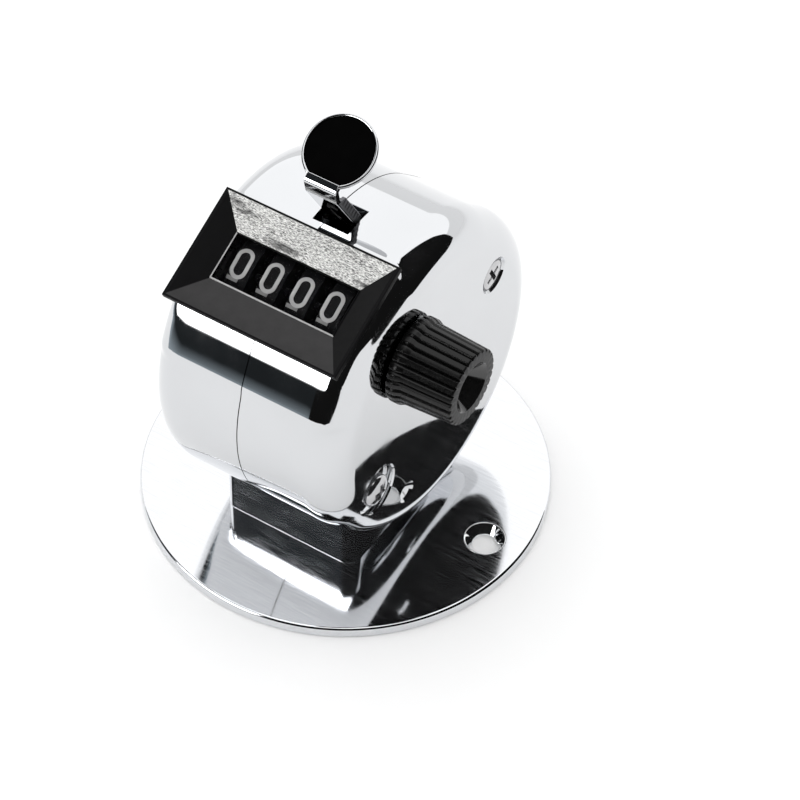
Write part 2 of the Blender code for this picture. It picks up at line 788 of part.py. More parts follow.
def build_lever(material):
    """Pressed lever: thumb pad, folded neck, leg with flanges, hub and pawl arm."""
    place = on_axis(0, LEVER_PIVOT)
    pad_forward = Vector((0, -cos(PAD_TILT), -sin(PAD_TILT)))
    hub = turned(
        "lever",
        [
            (HUB_LEFT, HUB_BORE), (HUB_LEFT, HUB_RADIUS), (HUB_RIGHT, HUB_RADIUS),
            (HUB_RIGHT, HUB_BORE),
        ],
        16, material, place, closed=True,
    )
    half = LEVER_WIDTH / 2
    left, right = LEVER_X - half, LEVER_X + half
    pad_edge = Vector((0, *PAD_CENTRE)) + pad_forward * (PAD_RADIUS - 0.2)
    towards_knee = (Vector(LEVER_KNEE) - Vector(LEVER_PIVOT)).normalized()
    hub_meeting = Vector(LEVER_PIVOT) + towards_knee * (HUB_RADIUS - 0.25)
    leg_points = [
        lever_local(point) for point in (
            (pad_edge.y, pad_edge.z), LEVER_FOLD, LEVER_KNEE, tuple(hub_meeting),
        )
    ]
    leg = strip("leg_form", leg_points, LEVER_SHEET, left, right)
    leg.location = Vector(place) * MM
    parts = [leg, pad_form()]
    for side in (-1, 1):
        parts.append(flange_form(side, place))
    parts.append(pawl_arm_form(place))
    join(hub, *parts)
    pin_hole = cylinder(
        "pawl_pin_hole_form", PAWL_PIN_RADIUS + 0.2, 6, 12, 14, location=on_axis(0, PAWL_PIN)
    )
    bore = cylinder("hub_bore_form", HUB_BORE, HUB_LEFT - 1, HUB_RIGHT + 1, 16, location=place)
    cut(hub, bore, pin_hole)
    return hub


def pad_matrix():
    turn = Matrix.Rotation(PAD_TILT, 4, "X")
    return Matrix.Translation(Vector((LEVER_X, *PAD_CENTRE)) * MM) @ turn


def pad_form():
    """Shallow dish with a raised rim, turned about the pad's own axis."""
    low = -LEVER_SHEET / 2
    high = LEVER_SHEET / 2
    pad = turned(
        "pad_form",
        [
            (low, 0), (low, PAD_RADIUS - 0.25), (0, PAD_RADIUS), (high, PAD_RADIUS - 0.1),
            (high, PAD_RADIUS - PAD_RIM), (0, PAD_RADIUS - PAD_RIM), (0, 0),
        ],
        28, axis="z",
    )
    pad.matrix_world = pad_matrix()
    return pad


def flange_form(side, place):
    """Stiffening flange behind one edge of the leg, outside the body."""
    fold, knee = Vector(lever_local(LEVER_FOLD)), Vector(lever_local(LEVER_KNEE))
    along = (knee - fold).normalized()
    backward = Vector((-along.y, along.x))
    start, end = fold + along * 0.9, fold + along * 7.2
    outline = [
        start, start + along * 1.2 + backward * LEVER_RIB,
        end - along * 0.8 + backward * LEVER_RIB, end,
    ]
    edge = LEVER_X + side * (LEVER_WIDTH / 2 - 0.03)
    first, last = sorted((edge, edge - side * LEVER_SHEET * 0.75))
    name = "flange_form_" + side_name(side)
    return prism(name, [tuple(point) for point in outline], first, last, None, place)


def pawl_arm_form(place):
    """Arm at the hub's right end that carries the pawl's pin."""
    pin = lever_local(PAWL_PIN)
    outline = hull_outline(((0, 0, HUB_RADIUS + 0.2), (*pin, 1.3)), 0, 20)
    return prism("pawl_arm_form", outline, HUB_RIGHT - 0.7, HUB_RIGHT - 0.05, None, place)


def build_pad_inlay(material):
    """Black face that lies in the pad's dish."""
    gap = 0.06
    high = LEVER_SHEET / 2
    radius = PAD_RADIUS - PAD_RIM - gap
    inlay = turned(
        "lever_pad_inlay",
        [(gap, 0), (gap, radius), (high - 0.12, radius), (high - 0.02, radius - 0.15),
         (high + 0.05, 0)],
        28, material, axis="z",
    )
    inlay.matrix_world = pad_matrix()
    return inlay


def build_lever_spring(material):
    """Torsion spring round the pivot pin, with a straight tail that hangs down."""
    steps = 10
    tail_lengths = (4.0, 2.0)
    centre = Vector(on_axis(0, LEVER_PIVOT))
    points = []
    rise = (HUB_LEFT - 0.5 - SPRING_LEFT - 2 * SPRING_WIRE) / SPRING_TURNS
    for step in range(SPRING_TURNS * steps + 1):
        angle = 2 * pi * step / steps
        x = SPRING_LEFT + SPRING_WIRE + rise * step / steps
        points.append(Vector((x, SPRING_COIL * cos(angle), SPRING_COIL * sin(angle))))
    tail = [points[0] - Vector((0, 0, reach)) for reach in tail_lengths]
    return tube("lever_spring", tail + points, SPRING_WIRE, material, centre)


def tube(name, points, radius, material, location):
    """Round wire along a list of points in millimetres."""
    curve = bpy.data.curves.new(name, "CURVE")
    curve.dimensions = "3D"
    curve.bevel_depth = radius * MM
    curve.bevel_resolution = 1
    curve.use_fill_caps = True
    spline = curve.splines.new("POLY")
    spline.points.add(len(points) - 1)
    for slot, point in zip(spline.points, points):
        slot.co = (*(point * MM), 1)
    curve.materials.append(material)
    item = bpy.data.objects.new(name, curve)
    item.location = location * MM
    bpy.context.scene.collection.objects.link(item)
    return item


def build_pawl(material):
    """Drive pawl: an eye on its pin and a nose just outside the ratchet."""
    towards = Vector(WHEEL_AXIS) - Vector(PAWL_PIN)
    aim = atan2(towards.y, towards.x) - radians(38)
    nose = (PAWL_LENGTH * cos(aim), PAWL_LENGTH * sin(aim))
    outline = hull_outline(((0, 0, 1.25), (*nose, 0.35)), 0, 20)
    half = PAWL_THICKNESS / 2
    place = on_axis(PAWL_X, PAWL_PIN)
    pawl = prism("drive_pawl", outline, -half, half, material, place)
    cut(pawl, cylinder("pawl_eye_form", PAWL_PIN_RADIUS + 0.15, -2, 2, 14, location=place))
    return pawl


def build_pawl_pin(material):
    return cylinder(
        "pawl_pin", PAWL_PIN_RADIUS, 7.6, HUB_RIGHT + 0.2, 14, material, on_axis(0, PAWL_PIN)
    )


def build_detent(material):
    """Leaf spring that rests against the ratchet from the front rod."""
    y, z = SPACER_FRONT
    front = SPACER_RADIUS + 0.15
    points = [(y + front + 0.2, z - 1.6), (y + front + 0.2, z + 1.4), (y + 1.0, z + 3.4)]
    points.append((y + 1.9, z + 4.4))
    leaf = strip("detent_spring", points, 0.25, 8.3, 9.5, material)
    return leaf


# ---------------------------------------------------------------- reset knob
def build_knob(material):
    """Fluted, slightly tapered knob with a flange and a hollow end."""
    levels = (
        (KNOB_INNER, KNOB_FLANGE_RADIUS), (KNOB_FLANGE_END - 0.4, KNOB_FLANGE_RADIUS),
        (KNOB_FLANGE_END, KNOB_NECK_RADIUS), (KNOB_OUTER, KNOB_TIP_RADIUS),
    )
    rings = []
    for x, radius in levels:
        depth = KNOB_FLUTE_DEPTH
        rings.append([(x, a, b) for a, b in fluted_circle(radius, depth)])
    place = on_axis(0, WHEEL_AXIS)
    knob = loft("reset_knob", rings, material, place)
    recess = turned(
        "knob_recess_form",
        [
            (KNOB_OUTER - KNOB_RECESS_DEPTH, 0),
            (KNOB_OUTER - KNOB_RECESS_DEPTH, KNOB_RECESS_RADIUS * 0.55),
            (KNOB_OUTER + 0.5, KNOB_RECESS_RADIUS + 0.3), (KNOB_OUTER + 0.5, 0),
        ],
        20, location=place,
    )
    bore = cylinder(
        "knob_bore_form", SHAFT_RADIUS + 0.15, KNOB_INNER - 1, SHAFT_RIGHT_END + 0.2, 16,
        location=place,
    )
    cut(knob, recess, bore)
    return knob


def fluted_circle(radius, depth):
    outline = []
    for step in range(KNOB_FLUTES * 2):
        angle = pi * step / KNOB_FLUTES
        reach = radius if step % 2 else radius - depth
        outline.append((reach * cos(angle), reach * sin(angle)))
    return outline


# --------------------------------------------------------------------- build
def main():
    clear_scene()
    chrome = make_material("chrome", (0.82, 0.83, 0.85), 0.06, 1.0)
    steel = make_material("zinc_steel", (0.62, 0.62, 0.63), 0.3, 1.0)
    nickel = make_material("screw_steel", (0.72, 0.72, 0.73), 0.12, 1.0)
    black = make_material("black_plastic", (0.012, 0.012, 0.013), 0.35)
    enamel = make_material("black_enamel", (0.006, 0.006, 0.006), 0.12)
    nylon = make_material("white_nylon", (0.8, 0.79, 0.76), 0.5)
    clear = make_material("clear_plastic", (0.95, 0.96, 0.97), 0.05)

    build_base(chrome)
    for side in (-1, 1):
        build_shell(side, chrome)
        build_base_screw(side, steel)
        build_plate(side, steel)
    build_bezel(black)
    build_lens(clear)
    build_rear_screw(nickel)
    build_front_screw(nickel)
    build_washer(nickel)

    for place, label in enumerate(("units", "tens", "hundreds", "thousands")):
        build_wheel("wheel_" + label, place, black)
        if place:
            build_pinion("pinion_" + label, place, nylon)
    build_wheel_shaft(steel)
    build_shaft_clip(steel)
    build_pin("pinion_shaft", PINION_SHAFT_RADIUS, pinion_axis(), steel)
    build_spacer("spacer_front", SPACER_FRONT, steel)
    build_spacer("spacer_lower", SPACER_LOWER, steel)

    build_lever(chrome)
    build_pad_inlay(enamel)
    build_pin("lever_pivot_pin", PIVOT_PIN_RADIUS, LEVER_PIVOT, steel)
    build_lever_spring(steel)
    build_pawl(steel)
    build_pawl_pin(steel)
    build_detent(steel)
    build_knob(black)


main()
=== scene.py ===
"""Finished look of the desk-mounted hand tally counter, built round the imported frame.

Sizes here are in millimetres and are turned into metres as meshes are made. The axes
are the frame's: +X to the counter's right, +Y to its back and +Z up.
"""

import json
from math import atan2, cos, degrees, pi, radians, sin, sqrt

import bmesh
import bpy
import numpy as np
from mathutils import Matrix, Vector


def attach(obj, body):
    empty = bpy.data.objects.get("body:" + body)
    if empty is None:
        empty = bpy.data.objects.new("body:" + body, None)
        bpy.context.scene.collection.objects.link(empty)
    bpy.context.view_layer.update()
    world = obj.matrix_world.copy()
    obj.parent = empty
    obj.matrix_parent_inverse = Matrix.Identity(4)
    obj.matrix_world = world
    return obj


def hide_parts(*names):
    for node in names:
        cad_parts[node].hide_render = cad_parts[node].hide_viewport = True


MM = 0.001

# ------------------------------------------------------------------ body sizes
BODY_HALF_WIDTH = 14.2
BODY_FILLET = 4.8
WALL = 1.3
SEAM_HALF_GAP = 0.07
FRONT_CIRCLE = (-2.2, 29.65, 22.1)      # y, z and radius
REAR_CIRCLE = (1.0, 26.1, 22.5)

WINDOW_TOP_EDGE = Vector((0, -7.25, 52.9))
WINDOW_BOTTOM_EDGE = Vector((0, -21.45, 46.1))
WINDOW_CENTRE = (WINDOW_TOP_EDGE + WINDOW_BOTTOM_EDGE) / 2
ACROSS = (WINDOW_TOP_EDGE - WINDOW_BOTTOM_EDGE).normalized()
OUTWARD = Vector((1, 0, 0)).cross(ACROSS)
BEZEL_WIDTH = 25.4
BEZEL_HEIGHT = 15.75
BEZEL_RIM = 0.9
BEZEL_LIP = 0.45
BEZEL_DEPTH = 1.8
NECK_WIDTH = 21.6
NECK_HEIGHT = 10.0
OPENING_WIDTH = 17.8
OPENING_HEIGHT = 6.3
OPENING_RISE = 0.27

SEAT_DEPTH = BEZEL_RIM + 0.05
SEAT_RISE = 7.4
COLLAR_HALF_WIDTH = 12.6
CHIN_ANGLE = radians(22)
COLLAR_BLEND = 1.4

BASE_RADIUS = 27.5
BASE_THICKNESS = 1.6
BASE_EDGE = 0.45
BASE_UNDER_EDGE = 0.25
HOLE_OFFSET = 21.9
HOLE_RADIUS = 1.6
SINK_RADIUS = 2.65
PEDESTAL_HALF_WIDTH = 10.2
PEDESTAL_FRONT = -13.8
PEDESTAL_BACK = 12.5
PEDESTAL_CORNER = 2.0
PEDESTAL_FOOT = 0.03
PEDESTAL_TOP = 13.0
PEDESTAL_STEPS = 6
SADDLE_GAP = 0.08

WHEEL_AXIS = (-7.6, 38.5)
WHEEL_RADIUS = 10.0
WHEEL_PITCH = 4.43
DIGIT_WIDTH = 2.35
DIGIT_HEIGHT = 4.1
DIGIT_STROKE = 0.5
DIGIT_LIFT = 0.05
DIGIT_SHIFT = 0.24
DIGIT_FACING = radians(30)      # how far forward of upright the shown digit sits

KNOB_INNER = 14.5
KNOB_OUTER = 23.5
KNOB_FLANGE_RADIUS = 5.8
KNOB_FLANGE_END = 16.2
KNOB_NECK_RADIUS = 5.45
KNOB_TIP_RADIUS = 5.1
KNOB_FLUTES = 28
KNOB_FLUTE_DEPTH = 0.42
KNOB_RECESS_RADIUS = 3.3
KNOB_RECESS_DEPTH = 2.6
KNOB_BOSS_RADIUS = 1.5
KNOB_BOSS_DEPTH = 2.1

REAR_SCREW = (12.55, 35.75)
FRONT_SCREW = (-14.1, 19.6)
SCREW_HEAD_RADIUS = 2.25
COUNTERBORE_RADIUS = 3.7
COUNTERBORE_DEPTH = 1.3
WASHER_RADIUS = 3.3
WASHER_SEAT = BODY_HALF_WIDTH - COUNTERBORE_DEPTH + 0.05
WASHER_THICKNESS = 0.5
SHANK_RADIUS = 1.25
SHANK_END = -9.0
DIMPLE = (-7.3, 13.0)
DIMPLE_RADIUS = 1.6
DIMPLE_DEPTH = 0.9

LEVER_PIVOT = (5.0, 44.0)
LEVER_X = 1.0
LEVER_WIDTH = 4.6
LEVER_SHEET = 0.8
LEVER_NECK = (-6.55, 58.2)      # y and z of the bend under the pad's lip
LEVER_FOOT = (-2.4, 51.2)
LEVER_KNEE = (-0.7, 49.8)
LEVER_BEND = 0.5
FLANGE_DEPTH = 1.3
FLANGE_SHEET = 0.55
FLANGE_RIBS = 7
HUB_RADIUS = 1.9
HUB_BORE = 1.15
HUB_LEFT = -3.2
HUB_RIGHT = 9.6
PAWL_PIN = (4.6, 38.6)
SLOT_FRONT = -5.0
SLOT_BACK = -0.2
SLIT_LENGTH = 1.1
SLIT_HALF_WIDTH = 3.4
PAD_CENTRE = (-2.7, 62.28)
PAD_RADIUS = 4.85
PAD_TILT = radians(30)
PAD_RIM = 0.45
PAD_CHORD = 3.9                 # from the pad's middle to the lip above the neck

CAMERA_AZIMUTH = radians(33.62)
CAMERA_ELEVATION = radians(46.53)
CAMERA_DISTANCE = 424.54
CAMERA_HEIGHT = 25.0
CAMERA_LENS = 148.45
CAMERA_AIM = (6.956, -6.608)    # how far right of and above the axis the camera aims


# --------------------------------------------------------------------- helpers
def mesh_from(name, bm, *materials):
    """Mesh with a bmesh's shape; the bmesh is freed."""
    mesh = bpy.data.meshes.new(name)
    bm.to_mesh(mesh)
    bm.free()
    for material in materials:
        mesh.materials.append(material)
    return mesh


def placed(name, data):
    item = bpy.data.objects.new(name, data)
    bpy.context.scene.collection.objects.link(item)
    return item


def from_bmesh(name, bm, material, sharp=32):
    """Object from a bmesh in millimetres; it stays in millimetres until settle()."""
    bmesh.ops.remove_doubles(bm, verts=bm.verts, dist=0.0005)
    bmesh.ops.recalc_face_normals(bm, faces=bm.faces)
    mesh = mesh_from(name, bm, material)
    mesh.shade_smooth()
    mesh.set_sharp_from_angle(angle=radians(sharp))
    return placed(name, mesh)


def bake_modifiers(item):
    graph = bpy.context.evaluated_depsgraph_get()
    mesh = bpy.data.meshes.new_from_object(item.evaluated_get(graph))
    item.modifiers.clear()
    old = item.data
    item.data = mesh
    bpy.data.meshes.remove(old)


def carve(item, *tools, operation="DIFFERENCE", solver="EXACT"):
    """Cut tools out of an item, or join them to it, and delete the tools."""
    for tool in tools:
        modifier = item.modifiers.new("carve", "BOOLEAN")
        modifier.operation = operation
        modifier.solver = solver
        modifier.object = tool
    bake_modifiers(item)
    for tool in tools:
        bpy.data.objects.remove(tool)


def settle(item, body, slot, *nodes):
    """Turn a finished piece into metres and let it ride on its body."""
    item.data.transform(Matrix.Scale(MM, 4))
    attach(item, body)
    if nodes:
        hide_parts(*nodes)
    return item


def merge(name, items):
    """Put separate closed pieces into one object, keeping each one's materials."""
    bm = bmesh.new()
    materials = []
    for item in items:
        start = len(bm.faces)
        bm.from_mesh(item.data)
        bm.faces.ensure_lookup_table()
        own = list(item.data.materials)
        for material in own:
            if material not in materials:
                materials.append(material)
        for face in bm.faces[start:]:
            face.material_index = materials.index(own[face.material_index])
    for item in items:
        bpy.data.objects.remove(item)
    return placed(name, mesh_from(name, bm, *materials))


def turned(name, profile, segments, material, centre=(0, 0, 0), axis="x", closed=False, sharp=32):
    """Turn a profile of (distance along the axis, radius) pairs."""
    bm = bmesh.new()
    if axis == "x":
        points = [(along, 0, radius) for along, radius in profile]
        direction = (1, 0, 0)
    else:
        points = [(radius, 0, along) for along, radius in profile]
        direction = (0, 0, 1)
    corners = [bm.verts.new(point) for point in points]
    lines = [bm.edges.new(pair) for pair in zip(corners, corners[1:])]
    if closed:
        lines.append(bm.edges.new((corners[-1], corners[0])))
    bmesh.ops.spin(
        bm, geom=corners + lines, cent=(0, 0, 0), axis=direction,
        angle=2 * pi, steps=segments, use_merge=True,
    )
    bmesh.ops.translate(bm, vec=Vector(centre), verts=bm.verts)
    return from_bmesh(name, bm, material, sharp)


def prism(name, outline, start, end, material, axis="x"):
    """Extrude a closed outline along X (outline in y, z) or along Z (in x, y)."""
    bm = bmesh.new()
    if axis == "x":
        ring = [bm.verts.new((start, a, b)) for a, b in outline]
        step = Vector((end - start, 0, 0))
    else:
        ring = [bm.verts.new((a, b, start)) for a, b in outline]
        step = Vector((0, 0, end - start))
    face = bm.faces.new(ring)
    moved = bmesh.ops.extrude_face_region(bm, geom=[face])["geom"]
    corners = [part for part in moved if isinstance(part, bmesh.types.BMVert)]
    bmesh.ops.translate(bm, vec=step, verts=corners)
    return from_bmesh(name, bm, material)


def loft(name, rings, material, closed=False, sharp=32):
    """Skin over a row of rings with equal point counts."""
    bm = bmesh.new()
    rows = [[bm.verts.new(point) for point in ring] for ring in rings]
    pairs = list(zip(rows, rows[1:]))
    if closed:
        pairs.append((rows[-1], rows[0]))
    for lower, upper in pairs:
        count = len(lower)
        for number in range(count):
            after = (number + 1) % count
            bm.faces.new((lower[number], lower[after], upper[after], upper[number]))
    if not closed:
        bm.faces.new(rows[0])
        bm.faces.new(rows[-1][::-1])
    return from_bmesh(name, bm, material, sharp)


def bevel(item, width, segments=3, angle=35):
    modifier = item.modifiers.new("bevel", "BEVEL")
    modifier.width = width
    modifier.segments = segments
    modifier.limit_method = "ANGLE"
    modifier.angle_limit = radians(angle)
    modifier.harden_normals = True
    bake_modifiers(item)
    return item


def arc(centre, radius, start, end, steps):
    """Points of a circular arc, its two angles in degrees."""
    points = []
    for step in range(steps + 1):
        angle = radians(start + (end - start) * step / steps)
        points.append((centre[0] + radius * cos(angle), centre[1] + radius * sin(angle)))
    return points


def hull_outline(circles, inset=0.0, count=32):
    """Outline round a set of circles (a, b, radius), drawn in by inset."""
    outline = []
    for step in range(count):
        angle = 2 * pi * step / count
        a, b = cos(angle), sin(angle)
        centre = max(circles, key=lambda circle: circle[0] * a + circle[1] * b + circle[2])
        reach = centre[2] - inset
        outline.append((centre[0] + reach * a, centre[1] + reach * b))
    return outline


def window_point(x, rise, depth):
    """A point in the window's own frame: across, up its slope, and inwards."""
    return WINDOW_CENTRE + Vector((x, 0, 0)) + ACROSS * rise - OUTWARD * depth


def window_rectangle(width, height, depth, rise=0.0):
    corners = ((-1, -1), (1, -1), (1, 1), (-1, 1))
    return [window_point(a * width / 2, rise + b * height / 2, depth) for a, b in corners]


# ------------------------------------------------------------------- materials
class Nodes:
    """Short way to add nodes to a material and join them."""

    def __init__(self, name, **values):
        self.material = bpy.data.materials.new(name)
        self.material.use_nodes = True
        self.tree = self.material.node_tree
        self.shader = self.tree.nodes["Principled BSDF"]
        for key, value in values.items():
            self.shader.inputs[key.replace("_", " ")].default_value = value
        self.place = self.add("ShaderNodeTexCoord").outputs["Object"]

    def add(self, kind, values=(), **settings):
        node = self.tree.nodes.new(kind)
        for key, value in settings.items():
            setattr(node, key, value)
        for key, value in values:
            node.inputs[key].default_value = value
        return node

    def join(self, source, target):
        self.tree.links.new(source, target)

    def feed(self, socket, value):
        self.join(value, self.shader.inputs[socket])

    def stretched(self, scale):
        mapping = self.add("ShaderNodeMapping", [("Scale", scale)])
        self.join(self.place, mapping.inputs["Vector"])
        return mapping.outputs["Vector"]

    def noise(self, scale, detail=3.0, vector=None, roughness=0.5):
        values = [("Scale", scale), ("Detail", detail), ("Roughness", roughness)]
        node = self.add("ShaderNodeTexNoise", values)
        self.join(vector or self.place, node.inputs["Vector"])
        return node.outputs["Fac"]

    def ranged(self, value, low, high, start=0.3, end=0.7):
        values = [("From Min", start), ("From Max", end), ("To Min", low), ("To Max", high)]
        node = self.add("ShaderNodeMapRange", values)
        self.join(value, node.inputs["Value"])
        return node.outputs["Result"]

    def combined(self, operation, first, second):
        node = self.add("ShaderNodeMath", operation=operation)
        self.join(first, node.inputs[0])
        self.join(second, node.inputs[1])
        return node.outputs["Value"]

    def colours(self, value, first, second, start=0.3, end=0.7):
        ramp = self.add("ShaderNodeValToRGB")
        for element, colour, place in zip(
            ramp.color_ramp.elements, (first, second), (start, end)
        ):
            element.color = (*colour, 1)
            element.position = place
        self.join(value, ramp.inputs["Fac"])
        return ramp.outputs["Color"]

    def bump(self, height, strength, distance):
        node = self.add("ShaderNodeBump", [("Strength", strength), ("Distance", distance)])
        self.join(height, node.inputs["Height"])
        self.feed("Normal", node.outputs["Normal"])

    def finish(self, gloss, tint, relief):
        """Gloss from (value, low, high), tint from (value, two colours), relief as bump's."""
        self.feed("Roughness", self.ranged(*gloss))
        if tint:
            self.feed("Base Color", self.colours(*tint))
        self.bump(*relief)
        return self.material


def dimmed(colour, share):
    return tuple(part * share for part in colour)


def chrome_material(name, colour=(0.65, 0.66, 0.675), wave=0.00001):
    """Bright plating: faint orange peel, and a slight haze that comes and goes."""
    nodes = Nodes(name, Metallic=1.0)
    tint = (nodes.noise(90, 2), dimmed(colour, 0.97), colour)
    return nodes.finish((nodes.noise(260, 4), 0.025, 0.07), tint, (nodes.noise(420, 2), 0.12, wave))


def disc_material():
    """Plating over a face that was brushed from side to side before it was plated."""
    nodes = Nodes("chrome_disc", Metallic=1.0)
    streaks = nodes.noise(1.0, 4, nodes.stretched((260, 5200, 5200)), 0.6)
    tint = (streaks, (0.68, 0.69, 0.71), (0.76, 0.77, 0.79))
    return nodes.finish((streaks, 0.03, 0.12), tint, (streaks, 0.1, 0.000004))


def steel_material(name, colour, low, high):
    """Rolled or turned steel with fine drawn lines."""
    nodes = Nodes(name, Metallic=1.0)
    lines = nodes.noise(1.0, 5, nodes.stretched((900, 5000, 900)), 0.65)
    tint = (nodes.noise(700, 3), dimmed(colour, 0.86), colour)
    return nodes.finish((lines, low, high), tint, (lines, 0.2, 0.000012))


def plastic_material(name, colour, low, high, grain, strength, specular=0.5):
    """Moulded plastic: fine grain in the relief and in the gloss."""
    nodes = Nodes(name, Specular_IOR_Level=specular)
    fine = nodes.noise(grain, 4)
    tint = (nodes.noise(600, 3), dimmed(colour, 0.8), colour)
    return nodes.finish((fine, low, high), tint, (fine, strength, 0.00003))


def painted_streak_highlight_material():
    """Bezel's upper slope: black plastic with painted highlights in fine, broken, silvery streaks.
    """
    nodes = Nodes("black_plastic_painted_highlight_streaks", Specular_IOR_Level=0.25)
    fine = nodes.noise(1.0, 5, nodes.stretched((2600, 9000, 9000)), 0.7)
    broad = nodes.noise(1.0, 3, nodes.stretched((150, 520, 520)), 0.6)
    grain = nodes.ranged(fine, 0.0, 1.0, 0.38, 0.62)
    patches = nodes.ranged(broad, 0.0, 1.0, 0.32, 0.44)
    streaks = nodes.combined("MULTIPLY", grain, patches)
    # Black to near white along the streaks: painted highlights.
    tint = (streaks, (0.02, 0.02, 0.02), (0.85, 0.85, 0.83), 0.0, 0.85)
    return nodes.finish((fine, 0.35, 0.6), tint, (fine, 0.4, 0.00005))


def clear_material():
    """Thin clear strip: almost all light goes through, with a faint gloss."""
    dark = (0.02, 0.02, 0.02, 1)
    nodes = Nodes("clear_plastic", Base_Color=dark, Alpha=0.03, Specular_IOR_Level=0.1)
    gloss = (nodes.noise(500, 3), 0.04, 0.1)
    return nodes.finish(gloss, None, (nodes.noise(150, 2), 0.05, 0.00001))


# ------------------------------------------------- surfaces given by a distance
def profile_distance(y, z):
    """Distance to the body's side outline, which wraps round two circles."""
    dy, dz = REAR_CIRCLE[0] - FRONT_CIRCLE[0], REAR_CIRCLE[1] - FRONT_CIRCLE[1]
    length = sqrt(dy ** 2 + dz ** 2)
    dy, dz = dy / length, dz / length
    from_y, from_z = y - FRONT_CIRCLE[0], z - FRONT_CIRCLE[1]
    along = from_y * dy + from_z * dz
    off = np.abs(from_z * dy - from_y * dz)
    lean = (FRONT_CIRCLE[2] - REAR_CIRCLE[2]) / length
    level = sqrt(1 - lean ** 2)
    turn = level * along - lean * off
    near = np.hypot(off, along) - FRONT_CIRCLE[2]
    far = np.hypot(off, along - length) - REAR_CIRCLE[2]
    side = level * off + lean * along - FRONT_CIRCLE[2]
    return np.where(turn < 0, near, np.where(turn > level * length, far, side))


def round_corner(a, b, radius):
    """Common part of two shapes, its edge rounded off."""
    corner = np.hypot(np.maximum(a + radius, 0), np.maximum(b + radius, 0))
    return np.minimum(np.maximum(a, b), -radius) + corner


def round_joint(a, b, radius):
    """Two shapes together, with a concave fillet where they meet."""
    corner = np.hypot(np.maximum(radius - a, 0), np.maximum(radius - b, 0))
    return np.maximum(np.minimum(a, b), radius) - corner


def drum_distance(p):
    return round_corner(
        profile_distance(p[:, 1], p[:, 2]), np.abs(p[:, 0]) - BODY_HALF_WIDTH, BODY_FILLET
    )


def collar_distance(p):
    """Block under the bezel: flat seat, sloping chin in front, and two side walls."""
    local = p - np.array(WINDOW_CENTRE)
    seat = local @ np.array(OUTWARD) + SEAT_DEPTH
    upper = local @ np.array(ACROSS) - SEAT_RISE
    from_y, from_z = p[:, 1] - FRONT_CIRCLE[0], p[:, 2] - FRONT_CIRCLE[1]
    chin = -from_y * cos(CHIN_ANGLE) + from_z * sin(CHIN_ANGLE) - FRONT_CIRCLE[2] + 0.15
    foot = -(from_y * sin(CHIN_ANGLE) + from_z * cos(CHIN_ANGLE)) - 0.5
    wall = np.abs(p[:, 0]) - COLLAR_HALF_WIDTH
    front = round_corner(seat, chin, 2.8)
    front = round_corner(front, upper, 1.2)
    block = round_corner(front, wall, 1.6)
    return round_corner(block, foot, 1.0)


def body_distance(p):
    return round_joint(drum_distance(p), collar_distance(p), COLLAR_BLEND)


def base_distance(p):
    """Disc and pedestal with the small fillet between them."""
    radial = np.hypot(p[:, 0], p[:, 1]) - BASE_RADIUS
    disc = round_corner(radial, p[:, 2] - BASE_THICKNESS, BASE_EDGE)
    disc = round_corner(disc, -p[:, 2], BASE_UNDER_EDGE)
    middle = (PEDESTAL_FRONT + PEDESTAL_BACK) / 2
    reach = (PEDESTAL_BACK - PEDESTAL_FRONT) / 2
    sides = round_corner(
        np.abs(p[:, 0]) - PEDESTAL_HALF_WIDTH, np.abs(p[:, 1] - middle) - reach, PEDESTAL_CORNER
    )
    whole = round_joint(disc, sides, PEDESTAL_FOOT)
    return np.maximum(whole, -p[:, 2])


def gradient(distance, points, step=0.004):
    parts = []
    for axis in range(3):
        shift = np.zeros(3)
        shift[axis] = step
        parts.append(distance(points + shift) - distance(points - shift))
    slope = np.stack(parts, 1)
    return slope / np.maximum(np.linalg.norm(slope, axis=1, keepdims=True), 1e-9)


def values_of(items, key, width, kind=float):
    """One property of every item, a row for each."""
    values = np.empty(len(items) * width, dtype=kind)
    items.foreach_get(key, values)
    return values.reshape(-1, width) if width > 1 else values


def snap_to(item, distance, rounds=8):
    """Move an item's points onto the surface where distance is zero."""
    points = values_of(item.data.vertices, "co", 3)
    for _ in range(rounds):
        points -= gradient(distance, points) * distance(points)[:, None]
    item.data.vertices.foreach_set("co", points.ravel())
    item.data.update()


def remeshed(name, seeds, voxel, distance, material):
    """One even mesh over rough seed shapes, drawn onto an exact surface."""
    item = seeds[0]
    carve(item, *seeds[1:], operation="UNION")
    modifier = item.modifiers.new("remesh", "REMESH")
    modifier.mode = "VOXEL"
    modifier.voxel_size = voxel
    modifier.adaptivity = 0
    bake_modifiers(item)
    item.name = name
    item.data.materials.clear()
    item.data.materials.append(material)
    snap_to(item, distance)
    return item


def exact_normals(item, distance, tolerance=0.03):
    """Shade the skin from the exact surface, and leave cut faces flat."""
    mesh = item.data
    centres = values_of(mesh.polygons, "center", 3)
    flat = values_of(mesh.polygons, "normal", 3)
    slope = gradient(distance, values_of(mesh.vertices, "co", 3))
    facing = (gradient(distance, centres) * flat).sum(1)
    skin = (np.abs(distance(centres)) < tolerance) & (facing > 0.7)
    totals = values_of(mesh.polygons, "loop_total", 1, int)
    owner = np.repeat(np.arange(len(totals)), totals)
    corner = values_of(mesh.loops, "vertex_index", 1, int)
    agree = (slope[corner] * flat[owner]).sum(1) > 0.5
    normals = np.where((skin[owner] & agree)[:, None], slope[corner], flat[owner])
    mesh.shade_smooth()
    mesh.normals_split_custom_set(normals.tolist())


